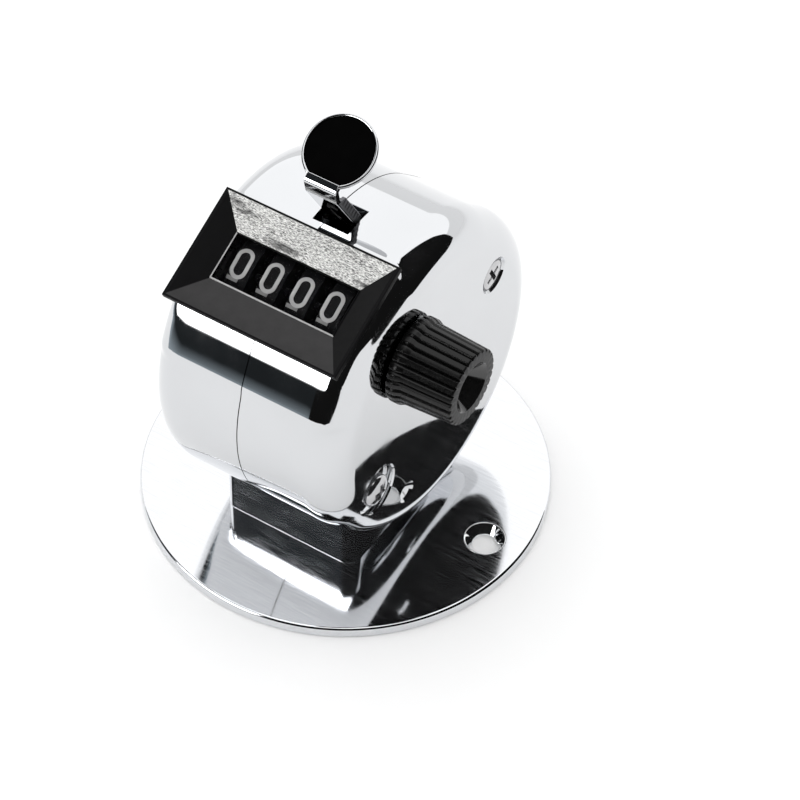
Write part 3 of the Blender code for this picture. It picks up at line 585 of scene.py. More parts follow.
# ------------------------------------------------------------------ body halves
def drum_form(inset, material):
    width = BODY_HALF_WIDTH - inset
    fillet = BODY_FILLET - inset
    rings = []
    steps = 5
    for side in (-1, 1):
        order = range(steps, -1, -1) if side < 0 else range(steps + 1)
        for step in order:
            angle = pi / 2 * step / steps
            x = side * (width - fillet + fillet * sin(angle))
            drawn_in = inset + fillet * (1 - cos(angle))
            outline = hull_outline((FRONT_CIRCLE, REAR_CIRCLE), drawn_in, 64)
            rings.append([(x, a, b) for a, b in outline])
    return loft("drum_form", rings, material)


def collar_form(material):
    """Rough seed under the exact collar."""
    points = []
    for side in (-1, 1):
        for rise, depth in ((-6.6, 1.2), (6.6, 1.2), (6.6, 5.0), (-6.6, 5.0)):
            points.append(window_point(side * (COLLAR_HALF_WIDTH - 0.6), rise, depth))
        for depth in (0.6, 4.0):
            reach = FRONT_CIRCLE[2] - depth
            angle = CHIN_ANGLE + 0.04
            y = FRONT_CIRCLE[0] - reach * cos(angle)
            z = FRONT_CIRCLE[1] + reach * sin(angle)
            points.append(Vector((side * (COLLAR_HALF_WIDTH - 0.8), y, z)))
    bm = bmesh.new()
    corners = [bm.verts.new(point) for point in points]
    result = bmesh.ops.convex_hull(bm, input=corners)
    spare = set(result["geom_interior"] + result["geom_unused"])
    bmesh.ops.delete(bm, geom=list(spare), context="VERTS")
    return from_bmesh("collar_form", bm, material)


def body_tools(material):
    """Everything that is cut out of the body's skin."""
    tools = [drum_form(WALL, material)]
    rings = [window_rectangle(NECK_WIDTH + 1.2, NECK_HEIGHT + 2.6, depth) for depth in (-2, 8)]
    tools.append(loft("window_form", rings, material))
    notch_half = LEVER_WIDTH / 2 + 0.3
    boxes = (
        (LEVER_X - notch_half, LEVER_X + notch_half, SLOT_FRONT, SLOT_BACK),
        (-SLIT_HALF_WIDTH, LEVER_X + notch_half, SLOT_BACK - SLIT_LENGTH, SLOT_BACK),
    )
    for left, right, front, back in boxes:
        outline = [(left, front), (right, front), (right, back), (left, back)]
        tools.append(prism("slot_form", outline, 46, 58, material, "z"))
    face = BODY_HALF_WIDTH
    sink = SCREW_HEAD_RADIUS + 0.3
    rear = [(face - 2.2, 0), (face - 2.2, 1.6), (face - 1.3, 1.6), (face + 0.2, sink + 0.2),
            (face + 1, sink + 0.2), (face + 1, 0)]
    tools.append(turned("rear_form", rear, 48, material, (0, *REAR_SCREW)))
    floor = face - COUNTERBORE_DEPTH
    bore = [(floor, 0), (floor, COUNTERBORE_RADIUS - 0.25), (floor + 0.25, COUNTERBORE_RADIUS),
            (face - 0.2, COUNTERBORE_RADIUS), (face + 0.3, COUNTERBORE_RADIUS + 0.5),
            (face + 1, COUNTERBORE_RADIUS + 0.5), (face + 1, 0)]
    tools.append(turned("front_form", bore, 64, material, (0, *FRONT_SCREW)))
    dimple = [
        (face - DIMPLE_DEPTH, 0), (face - DIMPLE_DEPTH * 0.8, DIMPLE_RADIUS * 0.4),
        (face - DIMPLE_DEPTH * 0.4, DIMPLE_RADIUS * 0.8), (face, DIMPLE_RADIUS),
        (face + 1, DIMPLE_RADIUS), (face + 1, 0),
    ]
    tools.append(turned("dimple_form", dimple, 48, material, (0, *DIMPLE)))
    hole = [(8, 0), (8, 2.2), (18, 2.2), (18, 0)]
    tools.append(turned("shaft_form", hole, 32, material, (0, *WHEEL_AXIS)))
    return tools


def half_of(item, name, side, material):
    """One side of the seam, closed across it."""
    bm = bmesh.new()
    bm.from_mesh(item.data)
    cut = bmesh.ops.bisect_plane(
        bm, geom=bm.verts[:] + bm.edges[:] + bm.faces[:], dist=1e-5,
        plane_co=(side * SEAM_HALF_GAP, 0, 0), plane_no=(side, 0, 0), clear_inner=True,
    )
    rim = [part for part in cut["geom_cut"] if isinstance(part, bmesh.types.BMEdge)]
    bmesh.ops.triangle_fill(bm, edges=rim, use_beauty=True, normal=(-side, 0, 0))
    mesh = mesh_from(name, bm)
    mesh.materials.clear()
    mesh.materials.append(material)
    return placed(name, mesh)


def build_shells(chrome):
    voxel = 0.36
    seeds = [drum_form(0, chrome), collar_form(chrome)]
    body = remeshed("body", seeds, voxel, body_distance, chrome)
    carve(body, *body_tools(chrome))
    for side, name in ((-1, "left"), (1, "right")):
        shell = half_of(body, "shell_" + name + "_skin", side, chrome)
        exact_normals(shell, body_distance)
        settle(shell, "housing", "chrome", "shell_" + name)
    bpy.data.objects.remove(body)


# ------------------------------------------------------------------------ base
def rounded_rectangle(half_width, front, back, radius, steps):
    outline = []
    for turn in range(4):
        start = turn * 90
        x = (half_width - radius) * (1 if turn in (0, 3) else -1)
        y = (back - radius) if turn in (0, 1) else (front + radius)
        outline += arc((x, y), radius, start, start + 90, steps)
    return outline


def build_plate(material):
    """The round plate, turned, with its two mounting holes."""
    top, under = BASE_EDGE, BASE_UNDER_EDGE
    profile = [(0, 0)]
    for z, radius in arc((under, BASE_RADIUS - under), under, 180, 90, 4):
        profile.append((z, radius))
    for z, radius in arc((BASE_THICKNESS - top, BASE_RADIUS - top), top, 90, 0, 8):
        profile.append((z, radius))
    profile.append((BASE_THICKNESS, 0))
    plate = turned("plate", profile, 256, material, axis="z")
    tools = []
    for side in (-1, 1):
        wide = SINK_RADIUS + 0.2
        cylinder = [(-1, 0), (-1, wide), (3, wide), (3, 0)]
        place = (side * HOLE_OFFSET, 0, 0)
        tools.append(turned("hole_form", cylinder, 64, material, place, "z"))
    carve(plate, *tools)
    return plate


def build_pedestal(material):
    """Block with rounded corners and a small fillet at its foot."""
    rings = []
    for step in range(-1, PEDESTAL_STEPS + 2):
        angle = pi / 2 * min(max(step, 0), PEDESTAL_STEPS) / PEDESTAL_STEPS
        spread = PEDESTAL_FOOT * (1 - sin(angle))
        z = BASE_THICKNESS + PEDESTAL_FOOT * (1 - cos(angle))
        if step < 0:
            z = BASE_THICKNESS - 0.4
        elif step > PEDESTAL_STEPS:
            z = PEDESTAL_TOP
        outline = rounded_rectangle(
            PEDESTAL_HALF_WIDTH + spread, PEDESTAL_FRONT - spread, PEDESTAL_BACK + spread,
            PEDESTAL_CORNER + spread, 12,
        )
        rings.append([(x, y, z) for x, y in outline])
    pedestal = loft("pedestal", rings, material)
    saddle = hull_outline((FRONT_CIRCLE, REAR_CIRCLE), -SADDLE_GAP, 96)
    carve(pedestal, prism("saddle_form", saddle, -20, 20, material))
    return pedestal


def build_base(material, rim_material):
    pieces = [build_plate(material), build_pedestal(material)]
    for piece in pieces:
        tools = []
        for side in (-1, 1):
            under = [(-1, 0), (-1, 2.7), (1.7, 2.7), (1.7, 1.55), (14, 1.55), (14, 0)]
            tools.append(turned("under_form", under, 32, material, (side * 5.2, 1.0, 0), "z"))
        carve(piece, *tools)
    base = merge("base_plate", pieces)
    exact_normals(base, base_distance)
    settle(base, "housing", "chrome", "base")
    top = BASE_THICKNESS
    outer = SINK_RADIUS + 0.18
    drop = SINK_RADIUS - HOLE_RADIUS
    profile = [
        (0, HOLE_RADIUS + 0.12), (0, outer), (top - 0.12, outer), (top - 0.03, outer - 0.04),
        (top, outer - 0.12), (top - 0.02, SINK_RADIUS), (top - 0.12, SINK_RADIUS - 0.1),
        (top - drop, HOLE_RADIUS + 0.08), (top - drop - 0.1, HOLE_RADIUS), (0.12, HOLE_RADIUS),
    ]
    for side, name in ((-1, "left"), (1, "right")):
        place = (side * HOLE_OFFSET, 0, 0)
        rim = turned("countersink_" + name, profile, 96, rim_material, place, "z", True, 50)
        settle(rim, "housing", "chrome")


# ----------------------------------------------------------------------- bezel
def build_bezel(plastic, painted_highlight_streaks, slope, edge):
    """Window frame: a deep funnel of four slopes, a raised lip round the opening."""
    lip = 0.3
    rings = [
        window_rectangle(BEZEL_WIDTH - 0.1, BEZEL_HEIGHT - 0.1, 0),
        window_rectangle(BEZEL_WIDTH, BEZEL_HEIGHT, 0.12),
        window_rectangle(BEZEL_WIDTH, BEZEL_HEIGHT, BEZEL_RIM),
        window_rectangle(NECK_WIDTH, NECK_HEIGHT + 0.8, BEZEL_RIM),
        window_rectangle(NECK_WIDTH, NECK_HEIGHT + 0.8, BEZEL_DEPTH),
        window_rectangle(OPENING_WIDTH, OPENING_HEIGHT, BEZEL_DEPTH, OPENING_RISE),
        window_rectangle(OPENING_WIDTH, OPENING_HEIGHT, BEZEL_DEPTH - 0.32, OPENING_RISE),
        window_rectangle(
            OPENING_WIDTH + lip, OPENING_HEIGHT + lip, BEZEL_DEPTH - 0.32, OPENING_RISE
        ),
        window_rectangle(
            OPENING_WIDTH + lip, OPENING_HEIGHT + lip, BEZEL_DEPTH - 0.2, OPENING_RISE
        ),
        window_rectangle(BEZEL_WIDTH - 2 * BEZEL_LIP, BEZEL_HEIGHT - 2 * BEZEL_LIP, 0),
    ]
    bezel = loft("window_bezel", rings, plastic, closed=True)
    for extra in (painted_highlight_streaks, slope, edge):
        bezel.data.materials.append(extra)
    bevel(bezel, 0.07, 2, 25)
    left_edge = -OPENING_WIDTH / 2 + 0.02
    bottom_edge = OPENING_RISE - OPENING_HEIGHT / 2 + 0.02
    for face in bezel.data.polygons:
        local = Vector(face.center) - WINDOW_CENTRE
        rise, depth = local.dot(ACROSS), -local.dot(OUTWARD)
        upward = face.normal.dot(ACROSS)
        # Faces of the upper slope take the streak material: painted highlights.
        if 0.1 < depth < 1.5 and upward < -0.2 and rise > 3.5:
            face.material_index = 1
        # Faces of the lower slope, which faces up, take a lighter grey copy of the black: painted
        # light.
        elif 0.1 < depth < 1.5 and upward > 0.2 and rise < -3:
            face.material_index = 2
        # Lip faces along the opening's left and bottom edges take the light grey: a painted
        # highlight.
        elif depth > 1.35 and abs(local.x) < 9.5 and abs(rise) < 3.9:
            shown = face.normal.dot(OUTWARD) > 0.1
            if shown and (local.x < left_edge or rise < bottom_edge):
                face.material_index = 3
    settle(bezel, "housing", "black_plastic", "bezel")


# ----------------------------------------------------------------------- lever
def fillet_path(points, radius, steps=5):
    """A row of 2D points with its inner corners rounded."""
    path = [Vector(points[0])]
    for before, corner, after in zip(points, points[1:], points[2:]):
        corner = Vector(corner)
        back = (Vector(before) - corner).normalized()
        ahead = (Vector(after) - corner).normalized()
        half = back.angle(ahead) / 2
        reach = radius / max(sin(half) / cos(half), 0.2) if half < 1.5 else 0.05
        middle = corner + (back + ahead).normalized() * radius / sin(half)
        first = corner + back * reach
        last = corner + ahead * reach
        for step in range(steps + 1):
            share = step / steps
            point = first.lerp(last, share)
            path.append(middle + (point - middle).normalized() * (first - middle).length)
    path.append(Vector(points[-1]))
    return path


def band(path, thickness):
    """Closed outline of even thickness along a path in the y-z plane."""
    sides = ([], [])
    for number, point in enumerate(path):
        before = path[max(number - 1, 0)]
        after = path[min(number + 1, len(path) - 1)]
        direction = (after - before).normalized()
        normal = Vector((-direction.y, direction.x))
        for side, sign in zip(sides, (1, -1)):
            side.append(tuple(point + normal * sign * thickness / 2))
    return sides[0] + sides[1][::-1]


def pad_point(forward, height=0.0):
    """y and z of a point on the pad's middle line."""
    y = PAD_CENTRE[0] - forward * cos(PAD_TILT) - height * sin(PAD_TILT)
    z = PAD_CENTRE[1] - forward * sin(PAD_TILT) + height * cos(PAD_TILT)
    return (y, z)


def place_pad(item):
    turn = Matrix.Translation((LEVER_X, *PAD_CENTRE)) @ Matrix.Rotation(PAD_TILT, 4, "X")
    item.data.transform(turn)
    return item


def build_lever(chrome, dark):
    """Pressed lever: rimmed pad, lip, folded neck, leg with flanges, hub and arm."""
    low, high = -LEVER_SHEET / 2, LEVER_SHEET / 2
    rim = PAD_RADIUS - PAD_RIM
    profile = [
        (low, 0), (low, PAD_RADIUS - 0.45), (low + 0.1, PAD_RADIUS - 0.2),
        (low + 0.3, PAD_RADIUS - 0.04), (0.1, PAD_RADIUS), (high - 0.14, PAD_RADIUS - 0.02),
        (high - 0.04, PAD_RADIUS - 0.08), (high, PAD_RADIUS - 0.18), (high - 0.02, rim + 0.12),
        (high - 0.1, rim + 0.04), (0.05, rim), (0.02, rim - 0.1), (0, 0),
    ]
    pad = place_pad(turned("pad", profile, 72, chrome, axis="z", sharp=50))
    half = LEVER_WIDTH / 2
    towards_knee = (Vector(LEVER_KNEE) - Vector(LEVER_PIVOT)).normalized()
    hub_meeting = tuple(Vector(LEVER_PIVOT) + towards_knee * (HUB_RADIUS - 0.25))
    lip_top = pad_point(PAD_CHORD, 0.06)
    fold = pad_point(PAD_RADIUS - 0.05, 0.06)
    path = fillet_path(
        [lip_top, fold, LEVER_NECK, LEVER_FOOT, LEVER_KNEE, hub_meeting], LEVER_BEND
    )
    leg = prism("leg", band(path, LEVER_SHEET), LEVER_X - half, LEVER_X + half, chrome)
    bevel(leg, 0.12, 3, 50)
    parts = [pad, leg]
    neck, foot = Vector(LEVER_NECK), Vector(LEVER_FOOT)
    along = (foot - neck).normalized()
    behind = Vector((-along.y, along.x))
    if behind.x < 0:
        behind = -behind
    length = (foot - neck).length
    for side in (-1, 1):
        start = neck + along * 0.3 - behind * 0.2
        end = neck + along * (length + 0.6) - behind * 0.2
        outline = [
            start, end, end - along * 0.8 + behind * FLANGE_DEPTH,
            start + along * 1.0 + behind * FLANGE_DEPTH,
        ]
        edge = LEVER_X + side * (half + 0.05)
        first, last = sorted((edge, edge - side * FLANGE_SHEET))
        flange = prism("flange", outline, first, last, dark)
        parts.append(bevel(flange, 0.1, 2, 30))
        for rib in range(FLANGE_RIBS):
            middle = start + along * (1.3 + rib * (length - 1.8) / FLANGE_RIBS)
            corners = [
                middle + along * a + behind * b
                for a, b in ((-0.16, 0.25), (0.16, 0.25), (0.16, 1.2), (-0.16, 1.2))
            ]
            outer = edge + side * 0.07
            first, last = sorted((outer, edge - side * 0.2))
            bar = prism("rib", corners, first, last, dark)
            parts.append(bevel(bar, 0.05, 2, 30))
    pivot = (0, *LEVER_PIVOT)
    hub = turned(
        "hub",
        [(HUB_LEFT, HUB_BORE), (HUB_LEFT, HUB_RADIUS), (HUB_RIGHT, HUB_RADIUS),
         (HUB_RIGHT, HUB_BORE)],
        32, chrome, pivot, closed=True,
    )
    arm = prism(
        "arm", hull_outline(((*LEVER_PIVOT, HUB_RADIUS + 0.2), (*PAWL_PIN, 1.3)), 0, 32),
        HUB_RIGHT - 0.7, HUB_RIGHT - 0.05, chrome,
    )
    tools = [
        turned("hub_bore", [(8, 0), (8, HUB_BORE), (12, HUB_BORE), (12, 0)], 32, chrome, pivot),
        turned("pin_bore", [(8, 0), (8, 0.8), (12, 0.8), (12, 0)], 24, chrome, (0, *PAWL_PIN)),
    ]
    carve(arm, *tools)
    lever = merge("thumb_lever_pressing", parts + [hub, arm])
    settle(lever, "thumb_lever", "chrome", "lever")


def build_pad_face(enamel):
    """Black face in the pad's dish, cut straight where it meets the lip."""
    high = LEVER_SHEET / 2
    radius = PAD_RADIUS - PAD_RIM - 0.04
    profile = [
        (0.06, 0), (0.06, radius), (high - 0.16, radius), (high - 0.09, radius - 0.05),
        (high - 0.06, radius - 0.14), (high - 0.02, radius * 0.6), (high, 0),
    ]
    face = turned("lever_pad_face", profile, 72, enamel, axis="z", sharp=50)
    chord = prism(
        "chord", [(-5, -PAD_CHORD), (5, -PAD_CHORD), (5, -7), (-5, -7)], -2, 2, enamel, "z"
    )
    carve(face, chord)
    place_pad(face)
    settle(face, "thumb_lever", "black_enamel", "lever_pad_inlay")


# ---------------------------------------------------------------------- screws
def cross_blades(centre, top, material, turn):
    """Two tapering blades that press a cross into a head."""
    blades = []
    for angle in (turn, turn + pi / 2):
        rings = []
        for x, length, width in ((top + 0.3, 1.45, 0.36), (top - 0.05, 1.3, 0.31),
                                 (top - 1.05, 0.4, 0.14)):
            ring = []
            for a, b in ((-1, -1), (1, -1), (1, 1), (-1, 1)):
                u, v = a * length, b * width
                y = centre[0] + u * cos(angle) - v * sin(angle)
                z = centre[1] + u * sin(angle) + v * cos(angle)
                ring.append((x, y, z))
            rings.append(ring)
        blades.append(loft("blade", rings, material))
    return blades


def build_screw(name, node, centre, head, top, turn, material, dark=None, ring=0.0):
    """Machine screw with a cross recess, its head given as (x, radius) pairs."""
    profile = [
        (SHANK_END, 0), (SHANK_END, SHANK_RADIUS * 0.6), (SHANK_END + 0.5, SHANK_RADIUS), *head,
    ]
    screw = turned(name, profile, 64, material, (0, *centre), sharp=40)
    carve(screw, *cross_blades(centre, top, material, turn))
    bevel(screw, 0.05, 2, 50)
    # Faces past ring from the axis, round the head's rim, take the dark material: painted shade for
    # the shadow in the counterbore.
    if dark:
        screw.data.materials.append(dark)
        for face in screw.data.polygons:
            if (face.center.yz - Vector(centre)).length > ring:
                face.material_index = 1
    settle(screw, "housing", "screw_steel", node)


def build_screws(nickel, bright, dark):
    radius = SCREW_HEAD_RADIUS
    top = BODY_HALF_WIDTH - 0.12
    head = [
        (top - 1.3, SHANK_RADIUS), (top - 0.25, radius - 0.12), (top - 0.14, radius - 0.04),
        (top - 0.1, radius - 0.24), (top - 0.04, radius * 0.6), (top, 0),
    ]
    # The rear screw's head gets a dark band at its rim: painted shade.
    build_screw(
        "rear_case_screw", "case_screw_rear", REAR_SCREW, head, top, radians(28), nickel,
        dark, radius - 0.2,
    )
    seat = WASHER_SEAT + WASHER_THICKNESS + 0.02
    top = seat + 1.25
    head = [
        (seat, SHANK_RADIUS), (seat, radius - 0.08), (seat + 0.08, radius),
        (seat + 0.5, radius), (seat + 0.78, radius * 0.93), (seat + 1.0, radius * 0.76),
        (seat + 1.15, radius * 0.5), (top, 0),
    ]
    build_screw(
        "front_case_screw", "case_screw_front", FRONT_SCREW, head, top, radians(-12), nickel
    )
    end = WASHER_SEAT + WASHER_THICKNESS
    bore = SHANK_RADIUS + 0.15
    profile = [
        (WASHER_SEAT, bore), (WASHER_SEAT, WASHER_RADIUS - 0.08),
        (WASHER_SEAT + 0.08, WASHER_RADIUS), (end - 0.16, WASHER_RADIUS),
        (end - 0.05, WASHER_RADIUS - 0.05), (end, WASHER_RADIUS - 0.18), (end, bore + 0.08),
        (end - 0.08, bore),
    ]
    washer = turned("front_screw_washer", profile, 72, bright, (0, *FRONT_SCREW), closed=True)
    settle(washer, "housing", "screw_steel", "case_screw_washer")


# ------------------------------------------------------------------------ knob
def knob_ring(x, radius, depth, flutes=KNOB_FLUTES, steps=12):
    """Ring of rounded ribs with narrow grooves between them."""
    ring = []
    for step in range(flutes * steps):
        angle = 2 * pi * step / (flutes * steps)
        rise = min(1, 1.5 * abs(sin(pi * step / steps)))
        reach = radius - depth * (1 - rise)
        ring.append((x, WHEEL_AXIS[0] + reach * cos(angle), WHEEL_AXIS[1] + reach * sin(angle)))
    return ring


def build_knob(plastic, face, hollow):
    """Fluted reset knob: skirt by the body, tapering grip, hollow end with a boss."""
    inner, outer, flange = KNOB_INNER, KNOB_OUTER, KNOB_FLANGE_END
    depth = KNOB_FLUTE_DEPTH
    skirt, neck, tip = KNOB_FLANGE_RADIUS, KNOB_NECK_RADIUS, KNOB_TIP_RADIUS
    recess, boss = KNOB_RECESS_RADIUS, KNOB_BOSS_RADIUS
    floor = outer - KNOB_RECESS_DEPTH
    boss_top = outer - KNOB_BOSS_DEPTH
    outside = (
        (inner, skirt - 0.35, 0), (inner + 0.1, skirt - 0.1, depth * 0.5),
        (inner + 0.3, skirt, depth * 0.6), (flange - 0.6, skirt, depth * 0.6),
        (flange - 0.4, skirt - 0.05, depth * 0.7), (flange + 0.1, neck + 0.06, depth * 0.9),
        (flange + 0.3, neck, depth), (outer - 0.28, tip + 0.02, depth),
        (outer - 0.1, tip - 0.04, depth * 0.9), (outer, tip - 0.16, depth * 0.75),
    )
    inside = (
        (outer, recess + 0.12, 0), (outer - 0.12, recess, 0), (floor + 0.5, boss + 0.65, 0),
        (floor + 0.1, boss + 0.35, 0), (floor, boss + 0.2, 0), (floor + 0.05, boss + 0.04, 0),
        (boss_top - 0.1, boss - 0.02, 0), (boss_top, boss - 0.12, 0),
    )
    rings = [knob_ring(*level) for level in outside + inside]
    knob = loft("reset_knob_moulding", rings, plastic, sharp=40)
    knob.data.materials.append(face)
    knob.data.materials.append(hollow)
    for polygon in knob.data.polygons:
        reach = (polygon.center.yz - Vector(WHEEL_AXIS)).length
        # The flat end face takes the lighter grey copy of the knob's black: painted light.
        if polygon.normal.x > 0.95 and polygon.center.x > outer - 0.05:
            polygon.material_index = 1
        elif reach < recess + 0.1:
            polygon.material_index = 2
    settle(knob, "reset_spindle", "black_plastic", "reset_knob")


# --------------------------------------------------------------------- figures
def oval(centre, across, up, start, end, steps=14):
    """Points of an elliptical arc, its two angles in degrees."""
    points = []
    for step in range(steps + 1):
        angle = radians(start + (end - start) * step / steps)
        points.append((centre[0] + across * cos(angle), centre[1] + up * sin(angle)))
    return points


def figure_strokes(figure):
    """Middle lines of a figure's strokes, each with a flag for a closed loop."""
    half = (DIGIT_WIDTH - DIGIT_STROKE) / 2
    tall = (DIGIT_HEIGHT - DIGIT_STROKE) / 2
    straight = tall - half
    loop = tall * 0.56
    if figure == 0:
        ring = oval((0, straight), half, half, 0, 180) + oval((0, -straight), half, half, 180, 360)
        return [(ring, True)]
    if figure == 1:
        return [([(-half * 0.7, tall * 0.62), (0.1, tall), (0.1, -tall)], False)]
    if figure == 2:
        top = oval((0, straight), half, half, 165, -35)
        return [(top + [(-half, -tall), (half, -tall)], False)]
    if figure == 3:
        top = oval((0, tall / 2), half * 0.92, tall / 2, 150, -90)
        return [(top + oval((0, -tall / 2), half, tall / 2, 90, -150), False)]
    if figure == 4:
        bar = [(half * 0.45, -tall), (half * 0.45, tall), (-half, -tall * 0.4)]
        return [(bar + [(half, -tall * 0.4)], False)]
    if figure == 5:
        top = [(half * 0.9, tall), (-half * 0.85, tall), (-half * 0.95, tall * 0.1)]
        return [(top + oval((0, loop - tall), half, loop, 125, -145), False)]
    if figure == 7:
        return [([(-half, tall), (half, tall), (-half * 0.3, -tall)], False)]
    if figure == 8:
        top = oval((0, tall / 2), half * 0.85, tall / 2, -90, 270, 24)
        return [(top[:-1], True), (oval((0, -tall / 2), half, tall / 2, 90, 450, 24)[:-1], True)]
    ring = oval((0, loop - tall), half, loop, 0, 360, 24)[:-1]
    tail = oval((half * 0.7, loop - tall), half * 1.7, 2 * tall - loop, 180, 95)
    strokes = [(ring, True), (tail, False)]
    if figure == 9:
        strokes = [([(-a, -b) for a, b in line], closed) for line, closed in strokes]
    return strokes


def stroke_sides(line, closed, width):
    """The two edges of a stroke of even width."""
    sides = ([], [])
    count = len(line)
    for number, point in enumerate(line):
        if closed:
            before, after = Vector(line[number - 1]), Vector(line[(number + 1) % count])
        else:
            before = Vector(line[max(number - 1, 0)])
            after = Vector(line[min(number + 1, count - 1)])
        here = Vector(point)
        run_in = (here - before).normalized() if (here - before).length > 1e-6 else None
        run_out = (after - here).normalized() if (after - here).length > 1e-6 else None
        direction = ((run_in or run_out) + (run_out or run_in)).normalized()
        normal = Vector((-direction.y, direction.x))
        leaving = run_out or run_in
        widening = 1 / max(normal.dot(Vector((-leaving.y, leaving.x))), 0.55)
        for side, sign in zip(sides, (1, -1)):
            side.append(here + normal * sign * width / 2 * widening)
    return sides


def on_drum(middle, point, facing, radius):
    angle = facing - point[1] / WHEEL_RADIUS
    return (
        middle + point[0],
        WHEEL_AXIS[0] - radius * sin(angle),
        WHEEL_AXIS[1] + radius * cos(angle),
    )


def add_stroke(bm, sides, closed, middle, facing, slot, lift=DIGIT_LIFT):
    """Raise one stroke on a drum."""
    top = WHEEL_RADIUS + lift
    foot = WHEEL_RADIUS - 0.12
    rows = []
    for left, right in zip(*sides):
        rows.append([
            bm.verts.new(on_drum(middle, point, facing, radius))
            for point, radius in ((left, foot), (left, top), (right, top), (right, foot))
        ])
    pairs = list(zip(rows, rows[1:]))
    if closed:
        pairs.append((rows[-1], rows[0]))
    for before, after in pairs:
        for number in range(4):
            follow = (number + 1) % 4
            face = bm.faces.new((before[number], before[follow], after[follow], after[number]))
            face.material_index = slot
    if not closed:
        for row in (rows[0], rows[-1]):
            bm.faces.new(row).material_index = slot


def build_figures(place, label, ink, shade):
    """Ten figures round one drum, each with the small foot below it."""
    middle = WHEEL_PITCH * (1.5 - place) - DIGIT_SHIFT
    bm = bmesh.new()
    # The foot below each figure is a light grey bar along its lower left.
    foot_height = -DIGIT_HEIGHT / 2 - 0.12
    foot = [(-DIGIT_WIDTH / 2, foot_height), (DIGIT_WIDTH * 0.2, foot_height)]
    for figure in range(10):
        facing = DIGIT_FACING - radians(36) * figure
        sides = stroke_sides(foot, False, 0.5)
        add_stroke(bm, sides, False, middle, facing, 1, DIGIT_LIFT * 0.5)
        for line, closed in figure_strokes(figure):
            sides = stroke_sides(line, closed, DIGIT_STROKE)
            add_stroke(bm, sides, closed, middle, facing, 0)
    bmesh.ops.recalc_face_normals(bm, faces=bm.faces)
    name = "figures_" + label
    settle(placed(name, mesh_from(name, bm, ink, shade)), "number_" + label, None)


# ------------------------------------------------------------------ main build
def make_camera():
    right = Vector((cos(CAMERA_AZIMUTH), sin(CAMERA_AZIMUTH), 0))
    back = Vector((
        sin(CAMERA_AZIMUTH) * cos(CAMERA_ELEVATION),
        -cos(CAMERA_AZIMUTH) * cos(CAMERA_ELEVATION),
        sin(CAMERA_ELEVATION),
    ))
    up = back.cross(right)
    centre = Vector((0, 0, CAMERA_HEIGHT))
    place = centre + back * CAMERA_DISTANCE
    aim = centre + right * CAMERA_AIM[0] + up * CAMERA_AIM[1]
    data = bpy.data.cameras.new("camera")
    data.lens = CAMERA_LENS
    data.sensor_width = 36.0
    data.clip_start = 0.01
    data.clip_end = 20
    camera = placed("camera", data)
    camera.location = place * MM
    axis_z = (place - aim).normalized()
    axis_x = up.cross(axis_z).normalized()
    axis_y = axis_z.cross(axis_x)
    turn = Matrix((axis_x, axis_y, axis_z)).transposed()
    camera.rotation_mode = "QUATERNION"
    camera.rotation_quaternion = turn.to_quaternion()
    bpy.context.scene.camera = camera


BOARD_RADIUS = 195  # of the dark boards round the object, mm
SOFTBOX_RADIUS = 190
BOARD_FOOT, BOARD_TOP = 0.5, 420
FLOOR_HALF_SIZE = 4.0  # metres, as the two below
CEILING_HALF_SIZE = 4.5
CEILING_PLACE = (-0.9, 1.0, 1.4)


def wall_patch(name, radius, turn_start, levels, material, steps=48):
    """Upright curved board round the object; a level is its z and its far end in degrees."""
    bm = bmesh.new()
    rows = []
    for z, turn_end in levels:
        row = []
        for step in range(steps + 1):
            angle = radians(turn_start + (turn_end - turn_start) * step / steps)
            row.append(bm.verts.new((radius * cos(angle) * MM, radius * sin(angle) * MM, z * MM)))
        rows.append(row)
    for lower, upper in zip(rows, rows[1:]):
        for step in range(steps):
            bm.faces.new((lower[step], lower[step + 1], upper[step + 1], upper[step]))
    item = reflected_only(name, bm, material)


def reflected_only(name, bm, material):
    """Board that is seen only in reflections."""
    board = placed(name, mesh_from(name, bm, material))
    board.visible_camera = False
    board.visible_diffuse = False
    board.visible_shadow = False
    return board


def glow_material(name, colour, strength, fades=()):
    """Self-lit board; each fade is (dark z, lit z, least strength), heights in mm."""
    black = (0, 0, 0, 1)
    nodes = Nodes(
        name, Base_Color=black, Emission_Color=(*colour, 1), Emission_Strength=strength,
        Roughness=1.0, Specular_IOR_Level=0.0,
    )
    height = nodes.add("ShaderNodeSeparateXYZ")
    nodes.join(nodes.place, height.inputs["Vector"])
    value = None
    for dark, lit, least in fades:
        share = nodes.ranged(height.outputs["Z"], least, strength, dark * MM, lit * MM)
        value = share if value is None else nodes.combined("MINIMUM", value, share)
    if value is not None:
        nodes.feed("Emission Strength", value)
    return nodes.material


